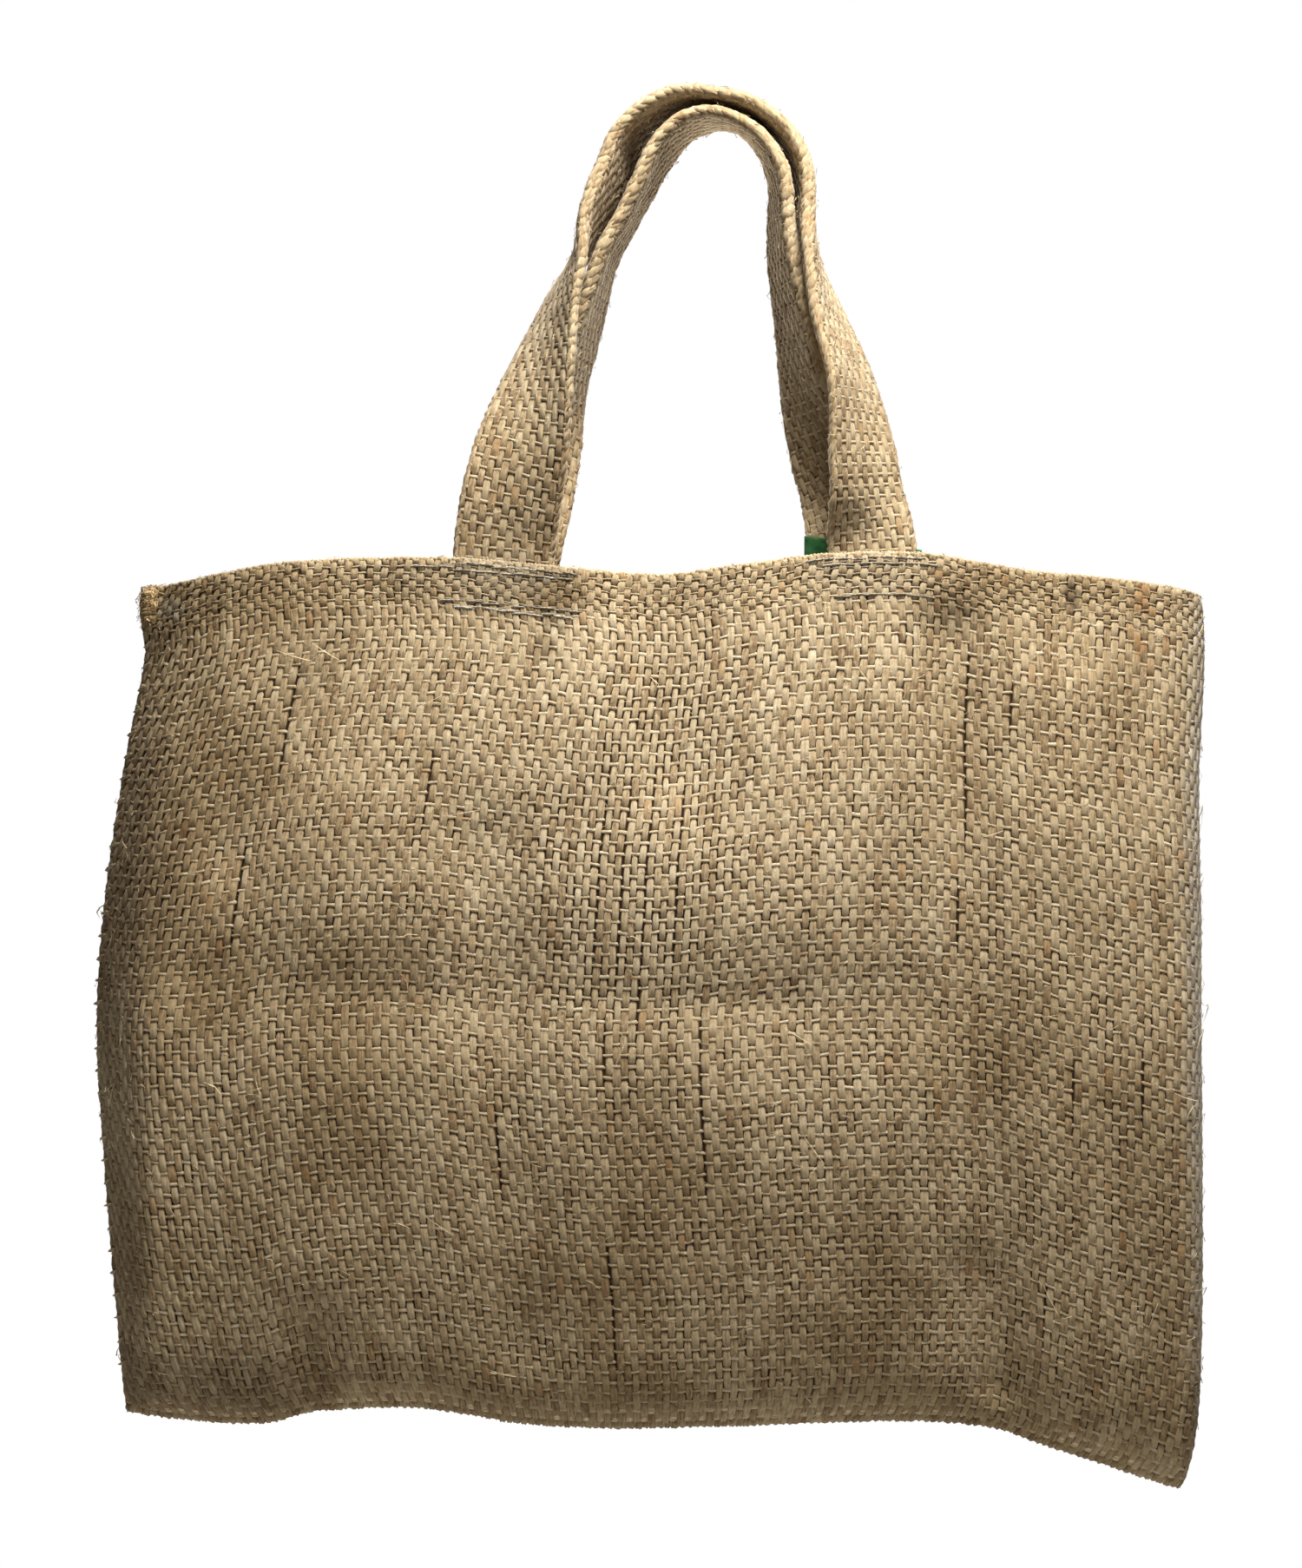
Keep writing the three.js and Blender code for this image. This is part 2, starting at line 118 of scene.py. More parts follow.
def make_world():
    world = bpy.data.worlds.new("white_room")
    world.use_nodes = True
    nodes, links = world.node_tree.nodes, world.node_tree.links
    seen = nodes.new("ShaderNodeBackground")
    seen.inputs["Color"].default_value = WORLD_SEEN
    seen.inputs["Strength"].default_value = 1.0
    lighting = nodes["Background"]
    lighting.inputs["Color"].default_value = WORLD_LIGHT
    lighting.inputs["Strength"].default_value = WORLD_STRENGTH
    mix = nodes.new("ShaderNodeMixShader")
    rays = nodes.new("ShaderNodeLightPath")
    links.new(rays.outputs["Is Camera Ray"], mix.inputs["Fac"])
    links.new(lighting.outputs[0], mix.inputs[1])
    links.new(seen.outputs[0], mix.inputs[2])
    links.new(mix.outputs[0], nodes["World Output"].inputs["Surface"])
    bpy.context.scene.world = world


make_camera()
make_floor()
make_world()
for lamp in LAMPS:
    make_lamp(*lamp)
bpy.context.scene.view_settings.view_transform = "Standard"

# %% [markdown]
# ## The shape in which the cloth hangs
#
# The sheets need a smooth surface that any thread can be laid on. It could be a mesh that is
# sculpted by hand, but a few sections joined by smooth curves give the same surface at any
# resolution, and its thread directions come for free. The tables hold those sections in
# millimetres, one row a section, with named columns.

# %% Tables of the hanging shape


def table(columns, *rows):
    """Rows of numbers under named columns."""
    return {name: np.array(values, float) for name, values in zip(columns.split(), zip(*rows))}


# `at` runs from the rim, 0, to the bottom edge, 1. seam and fold are the depths of the left and
# the right edge, and the turns say how wide a band of a face turns away to them.
BODY = table(
    "at left right front back seam fold left_turn right_turn",
    (0.00, -271, 233.5, -20, 16, 5, 0, 50, 32),
    (0.03, -272, 234.5, -21, 17, 5, 0, 50, 32),
    (0.08, -270, 234.5, -23, 18, 6, 0, 50, 31),
    (0.20, -279, 232, -27, 20, 7, 1, 50, 29),
    (0.36, -288.5, 232.5, -31, 22, 7, 1, 46, 26),
    (0.53, -293, 232.5, -32, 22, 7, 1, 40, 22),
    (0.72, -288.5, 233, -28, 20, 6, 1, 33, 18),
    (0.88, -283, 232.5, -20, 16, 5, 2, 26, 14),
    (0.96, -280, 229.5, -12, 12, 4, 3, 20, 11),
    (1.00, -278, 226, 0.5, 6.5, 3.5, 3.5, 16, 9),
)
# The heights of the two long edges, `at` running from the left edge, 0, to the right fold, 1.
RIM = table(
    "at z", (0, -216.5), (0.035, -215.5), (0.09, -210.5), (0.15, -206), (0.29, -204),
    (0.39, -208), (0.49, -211.5), (0.56, -207.5), (0.64, -202.5), (0.73, -202), (0.83, -210),
    (0.93, -215), (1, -221),
)
BOTTOM = table(
    "at z", (0, -609.5), (0.07, -613.5), (0.135, -614.5), (0.18, -609), (0.28, -607.5),
    (0.37, -614.5), (0.46, -617), (0.6, -615.5), (0.74, -613.5), (0.82, -617), (0.86, -624),
    (1, -647),
)
# Soft folds along a line. reach is the half-width, and a positive depth presses inwards.
FOLDS = {
    -1: table(
        "from_x from_z to_x to_z reach depth",
        (112, -240, 137, -615, 15, 7),
        (165, -270, 188, -600, 22, -4),
        (-150, -225, -222, -340, 17, 5),
        (-170, -330, -190, -540, 34, -4),
        (-22, -205, -14, -300, 27, 5),
        (-172, -406, -122, -410, 9, 0.9),
        (-50, -411, 40, -412, 8, 1.2),
        (124, -540, 137, -625, 14, 4),
        (-185, -404, 90, -411, 27, 4),
        (-238, -235, -250, -390, 26, 5),
        (-100, -340, -92, -570, 20, 4),
        (-192, -612, -186, -560, 13, 5),
    ),
    1: table(
        "from_x from_z to_x to_z reach depth",
        (-135, -250, -150, -560, 30, 4),
        (112, -260, 130, -600, 24, 5),
        (-20, -205, -10, -280, 30, 3),
    ),
}
SEAM_LENGTH = RIM["z"][0] - BOTTOM["z"][0]
CLOTH_WALL, HEM_WALL, HEM_HEIGHT, HEM_FADE = 2.4, 4.2, 21, 3
SEAM_HALF, SEAM_ALLOWANCE, BASE_ALLOWANCE = 2.4, 5, 6
KNOB = {"swell": 2.2, "across": 9, "drop": 10}
FOLDS_END = {"left": 40, "right": 45, "bottom": 0.06}
RELIEF = 1.2  # how far the threads stand out of the sheet that carries them
PUCKER = {"height": 1.1, "across": 38, "along": 55}  # soft unevenness all over the cloth
print("the left seam is", SEAM_LENGTH, "mm long")

# %% Smooth curves through the tables


def smooth(rows, column, at):
    """One column of a table at any place, on a smooth curve through its rows."""
    places, values = rows["at"], rows[column]
    at = np.asarray(at, float)
    last = len(places) - 1
    index = np.arange(last + 1)
    low, high = np.maximum(index - 1, 0), np.minimum(index + 1, last)
    slopes = (values[high] - values[low]) / (places[high] - places[low])
    i = np.clip(np.searchsorted(places, at, side="right") - 1, 0, last - 1)
    span = places[i + 1] - places[i]
    t = np.clip((at - places[i]) / span, 0, 1)
    rise = (3 - 2 * t) * t * t
    bend = t * (1 - t) * span * ((1 - t) * slopes[i] - t * slopes[i + 1])
    return values[i] * (1 - rise) + values[i + 1] * rise + bend


def ease(value, start, end):
    """0 before start and 1 after end, with a smooth rise between them."""
    t = np.clip((np.asarray(value, float) - start) / (end - start), 0, 1)
    return t * t * (3 - 2 * t)


def blend(a, b, share):
    return a + (b - a) * share


def run_of(points):
    """How far each point lies from the first, along the line through all of them."""
    return np.append(0, np.cumsum(np.linalg.norm(np.diff(points, axis=0), axis=1)))


def fold_press(side, x, z):
    """How far the folds of one face press in at a point."""
    folds, total = FOLDS[side], 0.0
    for k in range(len(folds["depth"])):
        row = {name: column[k] for name, column in folds.items()}
        along_x, along_z = row["to_x"] - row["from_x"], row["to_z"] - row["from_z"]
        dx, dz = x - row["from_x"], z - row["from_z"]
        t = np.clip((dx * along_x + dz * along_z) / (along_x**2 + along_z**2), 0, 1)
        away = np.hypot(dx - t * along_x, dz - t * along_z)
        total = total + row["depth"] * np.exp(-((away / row["reach"]) ** 2))
    return total


def pucker(side, x, z):
    """The cloth's soft unevenness, the same in every run."""
    place = np.broadcast_arrays(x / PUCKER["across"], z / PUCKER["along"])
    values = [noise.noise((a, b, 7.3 * side)) for a, b in zip(place[0].ravel(), place[1].ravel())]
    return PUCKER["height"] * np.array(values).reshape(place[0].shape)


def height_at(x, down):
    """The height of a point at x, a share `down` of the way from the rim to the bottom."""
    left, right = smooth(BODY, "left", down), smooth(BODY, "right", down)
    across = np.clip((x - left) / (right - left), 0, 1)
    return blend(smooth(RIM, "z", across), smooth(BOTTOM, "z", across), down)


def face_depth(side, x, down):
    """The depth of the front face (side -1) or the back one (side 1)."""
    x = np.asarray(x, float)
    face = smooth(BODY, "front" if side < 0 else "back", down)
    left, right = smooth(BODY, "left", down), smooth(BODY, "right", down)
    turned = np.clip((x - left) / smooth(BODY, "left_turn", down), 0, 1)
    from_knob = ((x - left) / KNOB["across"]) ** 2 + (down * SEAM_LENGTH / KNOB["drop"]) ** 2
    edge = smooth(BODY, "seam", down) + side * (SEAM_HALF + KNOB["swell"] * np.exp(-from_knob))
    z = height_at(x, down)
    press = fold_press(side, x, z) + pucker(side, x, z)
    press = press * ease(right - x, 0, FOLDS_END["right"]) * ease(x - left, 0, FOLDS_END["left"])
    press = press * ease(1 - down, 0, FOLDS_END["bottom"])
    return blend(edge, face, np.sin(turned * math.pi / 2)) - side * press


print("the front face lies", round(float(face_depth(-1, 0, 0.5)), 1), "mm from the middle plane")

# %% [markdown]
# ## The cloth as one sleeve
#
# The real bag is a sleeve of cloth that is turned in at its mouth. The sheet is built the same
# way: rings run from the bottom of the inside up to the rim, over it and down the outside. Each
# ring is divided evenly along the cloth and not along x, because the warp threads keep their
# distance where the cloth turns round an edge. The UV map, called thread, counts threads:
# across it the warps round the bag, and down it the wefts. It has no overlaps, so a thread that
# is drawn flat in it has one place on the bag.

# %% Threads of the body
WARPS = 300  # round the whole bag, and even, so that the weave closes at the seam
HEM_ROWS, FACE_ROWS = 7, 74  # wefts in the pressed hem, and from there to the bottom edge
HEM_PITCH = HEM_HEIGHT / HEM_ROWS
FACE_PITCH = (SEAM_LENGTH - HEM_HEIGHT) / FACE_ROWS
RIM_ROWS = HEM_WALL / HEM_PITCH  # wefts that lie on top of the rim
ROW_START, ROW_SPAN = 90, 180  # where the UV map's 0 and 1 lie, in wefts
BODY_RING = 190  # points round the sheet
LINE_POINTS = {"seam": 40, "face": 200, "fold": 24}  # across one face, before it is cut evenly
RIM_FADE = (1, 4)  # the wefts over which the room for threads ends inside the rim


def down_at(row):
    """The share of the way down at which a weft lies."""
    drop = np.minimum(row, HEM_ROWS) * HEM_PITCH + np.maximum(row - HEM_ROWS, 0) * FACE_PITCH
    return drop / SEAM_LENGTH


def face_line(side, down, inset, edge_inset):
    """One level of a face as points from the left edge to the middle of the right fold."""
    left, right = float(smooth(BODY, "left", down)), float(smooth(BODY, "right", down))
    band_end = left + float(smooth(BODY, "left_turn", down))
    right_turn = float(smooth(BODY, "right_turn", down))
    fold_start = right - right_turn
    x = np.concatenate([
        np.linspace(left + edge_inset, band_end, LINE_POINTS["seam"], endpoint=False),
        np.linspace(band_end, fold_start, LINE_POINTS["face"]),
    ])
    slope = (face_depth(side, x + 1, down) - face_depth(side, x - 1, down)) / 2
    y = face_depth(side, x, down) - side * inset * np.hypot(1, slope)
    turn = np.linspace(0, math.pi / 2, LINE_POINTS["fold"] + 1)[1:]
    x = np.append(x, fold_start + (right_turn - inset) * np.sin(turn))
    y = np.append(y, blend(float(smooth(BODY, "fold", down)), y[-1], np.cos(turn)))
    return np.stack([x, y, height_at(x, down)], -1)


def body_ring(down, inset, edge_inset):
    """A closed ring round the bag, finely divided, from the left edge round and back."""
    front, back = (face_line(side, down, inset, edge_inset) for side in (-1, 1))
    return np.concatenate([front, back[-2::-1], front[:1]])


def even_places(ring, count):
    """Where a ring has to be cut to get steps of equal length, as fractions of its index."""
    length = run_of(ring)
    cuts = np.linspace(0, length[-1], count, endpoint=False)
    return np.interp(cuts, length, np.arange(len(ring)))


def cut_ring(ring, places):
    return np.stack([np.interp(places, np.arange(len(ring)), ring[:, k]) for k in range(3)], -1)


def body_rings():
    """All rings of the sleeve, and the weft at which each lies."""
    rings, rows = [], []
    # Below the hem the inside hardly shows, so a ring at every second weft is enough there.
    inner_rows = [r for r in range(HEM_ROWS + FACE_ROWS, -1, -1) if r % 2 == 0 or r <= HEM_ROWS]
    inner_end = 1 - BASE_ALLOWANCE / SEAM_LENGTH
    for row in inner_rows:
        down = down_at(row)
        below_hem = ease(down * SEAM_LENGTH, HEM_HEIGHT, HEM_HEIGHT + HEM_FADE)
        inset = blend(HEM_WALL, CLOTH_WALL, below_hem) - RELIEF * (1 - ease(row, *RIM_FADE))
        places = even_places(body_ring(down, RELIEF, RELIEF), BODY_RING)
        rings.append(cut_ring(body_ring(min(down, inner_end), inset, SEAM_ALLOWANCE), places))
        rows.append(-RIM_ROWS - row)
    for row in range(HEM_ROWS + FACE_ROWS + 1):
        ring = body_ring(down_at(row), RELIEF, RELIEF)
        rings.append(cut_ring(ring, even_places(ring, BODY_RING)))
        rows.append(row)
    rings = np.array(rings)
    top_and_bottom = RELIEF * (2 * down_at(np.maximum(rows, 0)) - 1)
    rings[:, :, 2] += top_and_bottom[:, None]
    return rings, np.array(rows, float)


body_points, body_rows = body_rings()
girth = np.linalg.norm(np.diff(body_points[-40], axis=0), axis=1).sum()
WARP_PITCH = girth / WARPS
print("girth", round(girth), "mm, so a warp takes", round(WARP_PITCH, 2), "mm")

# %% A closed sleeve with its thread map


def sleeve(name, rings, v, outside_from=0):
    """A closed mesh through rings of points, with the UV map "thread" and its two ends shut."""
    count, around = rings.shape[:2]
    quads, u_corner, v_corner = [], [], []
    for k in range(count - 1):
        here, below = k * around, (k + 1) * around
        for j in range(around):
            nxt = (j + 1) % around
            quads.append((here + j, below + j, below + nxt, here + nxt))
            u_corner += [j, j, j + 1, j + 1]
            v_corner += [v[k], v[k + 1], v[k + 1], v[k]]
    for k, turned in ((0, True), (count - 1, False)):
        for j in range(around // 2):
            first = k * around
            a, b = first + j, first + j + 1
            c, d = first + (around - j - 1) % around, first + (around - j) % around
            corners = [a, d, c, b] if turned else [a, b, c, d]
            corners = [q for i, q in enumerate(corners) if q not in corners[:i]]
            if len(corners) > 2:
                quads.append(corners[::-1])
                u_corner += [0] * len(corners)
                v_corner += [v[k]] * len(corners)
    mesh = bpy.data.meshes.new(name)
    mesh.from_pydata((rings.reshape(-1, 3) * MM).tolist(), [], quads)
    layer = mesh.uv_layers.new(name="thread")
    layer.data.foreach_set("uv", np.stack([np.array(u_corner) / around, v_corner], -1).ravel())
    mesh.polygons.foreach_set("use_smooth", [True] * len(quads))
    outside = np.zeros(len(quads), bool)
    outside[outside_from * around:(count - 1) * around] = True
    mesh.attributes.new("outside", "BOOLEAN", "FACE").data.foreach_set("value", outside)
    mesh.update()
    return link(bpy.data.objects.new(name, mesh))


def signed_volume(thing):
    """Positive where the faces of a closed mesh point outwards."""
    mesh = thing.data
    mesh.calc_loop_triangles()
    points = np.array([v.co for v in mesh.vertices])
    a, b, c = (points[[t.vertices[k] for t in mesh.loop_triangles]] for k in range(3))
    return float(np.einsum("ij,ij->i", a, np.cross(b, c)).sum() / 6)


FIRST_OUTSIDE = int(np.argmax(body_rows >= 0)) - 1
bag_cloth = sleeve("bag_cloth", body_points, (body_rows + ROW_START) / ROW_SPAN, FIRST_OUTSIDE)
volume = round(signed_volume(bag_cloth) * 1e6)
print("bag_cloth:", len(bag_cloth.data.polygons), "faces,", volume, "cm3")

# %% [markdown]
# ## The straps as long flat tubes
#
# A strap is cloth folded over and over to a flat band. It leaves the hem flat, turns on its
# edge as it rises, and arches over at its crown. A curve with a bevel could do it, but a sweep
# written out gives full control over how the band turns, so each strap follows a table of its
# middle line, with the turn in degrees, the width and the thickness at every row. The hem
# presses its ends thin, and above it the folds spring open.

# %% Sweeping a strap
STRAP_SEWN, STRAP_CORNER = 5.5, 2.2  # the thickness in the hem, and the rounding of an edge
STRAP_RING, STRAP_RINGS = {"face": 24, "edge": 4}, 130  # points on one side, and rings along it
STRAP_WARPS = 28  # round the strap: twelve on each face and two along each edge
STRAP_GAP = 0.55  # between the hem and the strap that is sewn to it
STRAP_FREE = (2, 26)  # the heights above the rim between which a strap leaves the hem's face
FRONT_STRAP = table(
    "x y z turn width thick",
    (-97, -13, -225, 0, 48, 5.5), (-97, -13, -204, 0, 48, 5.5), (-93, -16, -175, 5, 47.5, 5.5),
    (-88.5, -17, -154, 16, 47, 5.5), (-82, -15, -124, 40, 46, 5.5),
    (-72.7, -10, -88.6, 65, 46, 5.8), (-64.8, -7.5, -67.3, 78, 46, 6.8),
    (-59, -5, -52.6, 95, 46, 7.2), (-52.5, -3, -37.7, 102, 46, 8), (-45.4, -1, -22.4, 105, 46, 8),
    (-39.1, 0, -7.6, 104, 46, 7.5), (-26, 0, 6.3, 98, 46, 7), (-12.9, 0, 13.3, 90, 46, 6.6),
    (0.2, 0, 14.5, 83, 46, 6.5), (16.1, 0, 11.8, 82, 46, 6.7), (31, 0, 1.2, 86, 46, 7.2),
    (40.1, 0, -12.3, 91, 45, 7.6), (43.9, -1, -27.5, 93, 45, 8), (45, -3, -43.2, 91, 44, 8),
    (47.6, -6, -59.4, 83.5, 44, 8), (55.9, -11, -90.3, 65.5, 43, 6.4),
    (66.2, -15, -122, 56, 43, 5.5), (71, -17, -156, 38, 42, 5.5), (73, -16, -176, 30, 42, 5.5),
    (75.5, -13, -199, 6, 42, 5.5), (76, -13, -221, 0, 42, 5.5),
)
BACK_STRAP = table(
    "x y z turn width thick",
    (-94.5, 9, -225, 0, 46, 5.5), (-94.5, 9, -204, 0, 46, 5.5), (-89, 11, -178, 12, 46, 5.5),
    (-81, 13, -151, 36, 46, 5.8), (-69, 10, -124, 73, 46, 6.5), (-61, 7, -99, 79, 46, 6.8),
    (-54.7, 4, -78, 83, 46, 7.6), (-49.4, 2, -60.4, 87, 46, 8), (-40.9, 1, -44.3, 89, 46, 8),
    (-32.5, 0, -28.3, 87, 46, 8), (-25, 0, -13.5, 85, 46, 7.5), (-18.5, 0, -5, 86, 46, 7),
    (-10.7, 0, 2, 91, 46, 6.8), (-2, 0, 5, 95, 46, 6.5), (6, 0, 5.5, 99, 46, 6.5),
    (13.5, 0, 3.3, 101, 46, 6.5), (21, 0, -2.3, 98, 46, 6.8), (28, 0, -11.2, 94, 46, 7.3),
    (33, 0, -25, 88, 46, 8), (33.6, 1, -42.5, 84, 46, 8), (34.8, 2, -58.6, 82, 46, 8.4),
    (39.8, 5, -88, 77.5, 46, 8.4), (46.5, 9, -124, 67, 46, 8), (56, 12, -152, 48, 45, 7.5),
    (64, 12, -170, 28, 45, 6.5), (68, 9, -190, 5, 44, 5.5), (68.5, 9, -203, 0, 44, 5.5),
    (68.5, 9, -223, 0, 44, 5.5),
)


def unit(v):
    return v / np.linalg.norm(v)


def strap_section(width, thick):
    """Points round a flat band with rounded edges, as across and through, in millimetres."""
    thick = thick - 2 * RELIEF
    corner = min(STRAP_CORNER, thick / 2)
    right = width / 2 - RELIEF - corner
    face = np.linspace(-right, right, STRAP_RING["face"], endpoint=False)
    face = np.stack([face, np.full(len(face), -thick / 2)], -1)
    turn = np.linspace(0, math.pi / 2, 9)
    arc = [right, -thick / 2] + corner * np.stack([np.sin(turn), 1 - np.cos(turn)], -1)
    arc = np.concatenate([arc, arc[::-1] * (1, -1)])
    length = run_of(arc)
    places = np.linspace(0, length[-1], STRAP_RING["edge"], endpoint=False)
    edge = np.stack([np.interp(places, length, arc[:, k]) for k in (0, 1)], -1)
    half = np.concatenate([face, edge])
    return np.concatenate([half, -half])


def strap_path(rows):
    """The rows with their places on the middle line, its length, and a function of its points."""
    rows = dict(rows, at=run_of(np.stack([rows[c] for c in "xyz"], -1)))
    return rows, rows["at"][-1], lambda at: np.array([float(smooth(rows, c, at)) for c in "xyz"])


def strap_rings(rows, side):
    """Rings of points along a strap that is sewn to the front (-1) or the back (1)."""
    rows, length, place = strap_path(rows)
    rings = []
    for at in np.linspace(0, length, STRAP_RINGS):
        along = unit(place(min(at + 1, length)) - place(max(at - 1, 0)))
        turn = math.radians(float(smooth(rows, "turn", at)))
        wide = unit(np.array([-along[2], 0, along[0]])) * math.cos(turn)
        wide[1] = -side * math.sin(turn)
        wide = unit(wide - along * wide.dot(along))
        thick = np.cross(wide, along)
        local = float(smooth(rows, "thick", at))
        section = strap_section(float(smooth(rows, "width", at)), local)
        ring = place(at) + section[:, :1] * wide + section[:, 1:] * thick
        rim = height_at(ring[:, 0], 0)
        down = np.clip((rim - ring[:, 2]) / SEAM_LENGTH, 0, 1)
        through = section[:, 1] - side * local / 2
        seat = face_depth(side, ring[:, 0], down) - side * (HEM_WALL + STRAP_GAP) + through
        ring[:, 1] = blend(seat, ring[:, 1], ease(ring[:, 2] - rim, *STRAP_FREE))
        rings.append(ring)
    return np.array(rings), length


def make_strap(name, rows, side):
    rings, length = strap_rings(rows, side)
    strap = sleeve(name, rings, np.linspace(0, 1, STRAP_RINGS))
    print(name, round(length), "mm long,", round(signed_volume(strap) * 1e6), "cm3")
    return strap, length


front_strap, front_length = make_strap("front_strap", FRONT_STRAP, -1)
back_strap, back_length = make_strap("back_strap", BACK_STRAP, 1)
STRAP_GIRTH = float(np.linalg.norm(np.diff(strap_section(46, 7), axis=0), axis=1).sum()) * 1.02

# %% [markdown]
# ## Small helpers for node trees
#
# Geometry Nodes and shaders are both trees of nodes. These helpers add a node, fill its inputs
# from other nodes or from plain values, and open a new group with named inputs and outputs, so
# that the trees below read almost like formulas. Math nodes take two values each, so plus, minus
# and times set as many of them in a row as their values need.

# %% Node helpers


def fill(tree, socket, value):
    if isinstance(value, bpy.types.NodeSocket):
        tree.links.new(value, socket)
    else:
        socket.default_value = value


def find(sockets, name):
    """The socket in use with this identifier or name."""
    return next(s for s in sockets if s.enabled and name in (s.identifier, s.name))


def add(tree, kind, inputs=None, **settings):
    node = tree.nodes.new(kind)
    for name, value in settings.items():
        setattr(node, name, value)
    for name, value in (inputs or {}).items():
        fill(tree, find(node.inputs, name), value)
    return node


def calc(tree, operation, *values):
    """One Math node."""
    node = tree.nodes.new("ShaderNodeMath")
    node.operation = operation
    for socket, value in zip(node.inputs, values):
        fill(tree, socket, value)
    return node.outputs[0]


def chained(operation):
    """A helper that joins two or more values, from left to right, by one operation."""
    def join(tree, value, *others):
        for other in others:
            value = calc(tree, operation, value, other)
        return value
    return join


plus, minus, times = chained("ADD"), chained("SUBTRACT"), chained("MULTIPLY")


def combine(tree, x=0.0, y=0.0, z=0.0):
    return add(tree, "ShaderNodeCombineXYZ", {"X": x, "Y": y, "Z": z}).outputs[0]


def separate(tree, vector):
    return add(tree, "ShaderNodeSeparateXYZ", {"Vector": vector}).outputs


def moved_by(tree, vector, step):
    inputs = {"Vector": vector, "Vector_001": step}
    return add(tree, "ShaderNodeVectorMath", inputs, operation="ADD").outputs[0]


def ramp(tree, value, start, end, low=0.0, high=1.0):
    """A smooth step from low to high as the value goes from start to end."""
    values = {"Value": value, "From Min": start, "From Max": end, "To Min": low, "To Max": high}
    return add(tree, "ShaderNodeMapRange", values, interpolation_type="SMOOTHSTEP").outputs[0]


def noise_of(tree, vector, scale, detail=1.0):
    inputs = {"Vector": vector, "Scale": scale, "Detail": detail}
    return find(add(tree, "ShaderNodeTexNoise", inputs).outputs, "Fac")


def from_ellipse(tree, across, down, middle, size):
    """0 at the middle of an ellipse, and 1 on its outline."""
    squares = [calc(tree, "POWER", calc(tree, "DIVIDE", minus(tree, value, centre), half), 2.0)
               for value, centre, half in zip((across, down), middle, size)]
    return calc(tree, "SQRT", plus(tree, *squares))


def new_group(kind, name, inputs, outputs):
    """A group with its input sockets and its output sockets, given as {name: type or default}."""
    tree = bpy.data.node_groups.new(name, kind)
    types = {float: "NodeSocketFloat", int: "NodeSocketInt", tuple: "NodeSocketColor"}
    for way, sockets in (("INPUT", inputs), ("OUTPUT", outputs)):
        for label, value in sockets.items():
            socket_type = value if isinstance(value, str) else types[type(value)]
            socket = tree.interface.new_socket(label, in_out=way, socket_type=socket_type)
            if not isinstance(value, str):
                socket.default_value = value
    return tree, add(tree, "NodeGroupInput").outputs, add(tree, "NodeGroupOutput").inputs


GEOMETRY, OBJECT, MATERIAL = "NodeSocketGeometry", "NodeSocketObject", "NodeSocketMaterial"
VECTOR = "NodeSocketVector"

# %% [markdown]
# ## Wrapping flat threads on the cloth
#
# Every thread is first laid flat: x runs round the cloth, y runs down it and z stands off it,
# all in metres. This group then looks each point up in the cloth's thread map, and puts it at
# that place, pushed out along the cloth's own direction there. It serves the weave, the
# stitches and the loose fibres alike, so they all follow the same folds.

# %% The wrap group
MAP_INPUTS = {
    "Cloth": OBJECT, "Girth": 1.0, "Row Pitch": 0.005, "First Row": 0.0, "Last Row": 80.0,
    "Row Start": 0.0, "Row Span": 80.0,
}


def make_wrap():
    """Lays flat threads on the cloth, and keeps their flat places as a map of their own."""
    inputs = {"Geometry": GEOMETRY, **MAP_INPUTS}
    tree, inp, out = new_group("GeometryNodeTree", "wrap_on_cloth", inputs, {"Geometry": GEOMETRY})
    x, y, z = separate(tree, add(tree, "GeometryNodeInputPosition").outputs[0])
    row = calc(tree, "DIVIDE", y, inp["Row Pitch"])
    row = calc(tree, "MINIMUM", calc(tree, "MAXIMUM", row, inp["First Row"]), inp["Last Row"])
    v = calc(tree, "DIVIDE", plus(tree, row, inp["Row Start"]), inp["Row Span"])
    place = combine(tree, calc(tree, "FRACT", calc(tree, "DIVIDE", x, inp["Girth"])), v)
    cloth = add(tree, "GeometryNodeObjectInfo", {"Object": inp["Cloth"]})
    uv = add(tree, "GeometryNodeInputNamedAttribute", {"Name": "thread"}, data_type="FLOAT_VECTOR")
    sampled = []
    for kind in ("GeometryNodeInputPosition", "GeometryNodeInputNormal"):
        look = add(tree, "GeometryNodeSampleUVSurface", {
            "Mesh": find(cloth.outputs, "Geometry"), "Value": add(tree, kind).outputs[0],
            "UV Map": find(uv.outputs, "Attribute"), "Sample UV": place,
        }, data_type="FLOAT_VECTOR")
        sampled.append(find(look.outputs, "Value"))
    surface, normal = sampled
    proud = add(tree, "ShaderNodeVectorMath", {"Vector": normal, "Scale": z}, operation="SCALE")
    kept = add(tree, "GeometryNodeStoreNamedAttribute", {
        "Geometry": inp["Geometry"], "Name": "thread", "Value": combine(tree, x, y)},
        data_type="FLOAT2", domain="CORNER")
    moved = add(tree, "GeometryNodeSetPosition", {
        "Geometry": kept.outputs[0], "Position": moved_by(tree, surface, proud.outputs[0])})
    # y runs down the cloth, so wrapping mirrors every face, and this turns it outwards again.
    outwards = add(tree, "GeometryNodeFlipFaces", {"Mesh": moved.outputs[0]})
    tree.links.new(outwards.outputs[0], out["Geometry"])
    return tree


wrap_on_cloth = make_wrap()
print("the wrap group has", len(wrap_on_cloth.nodes), "nodes")
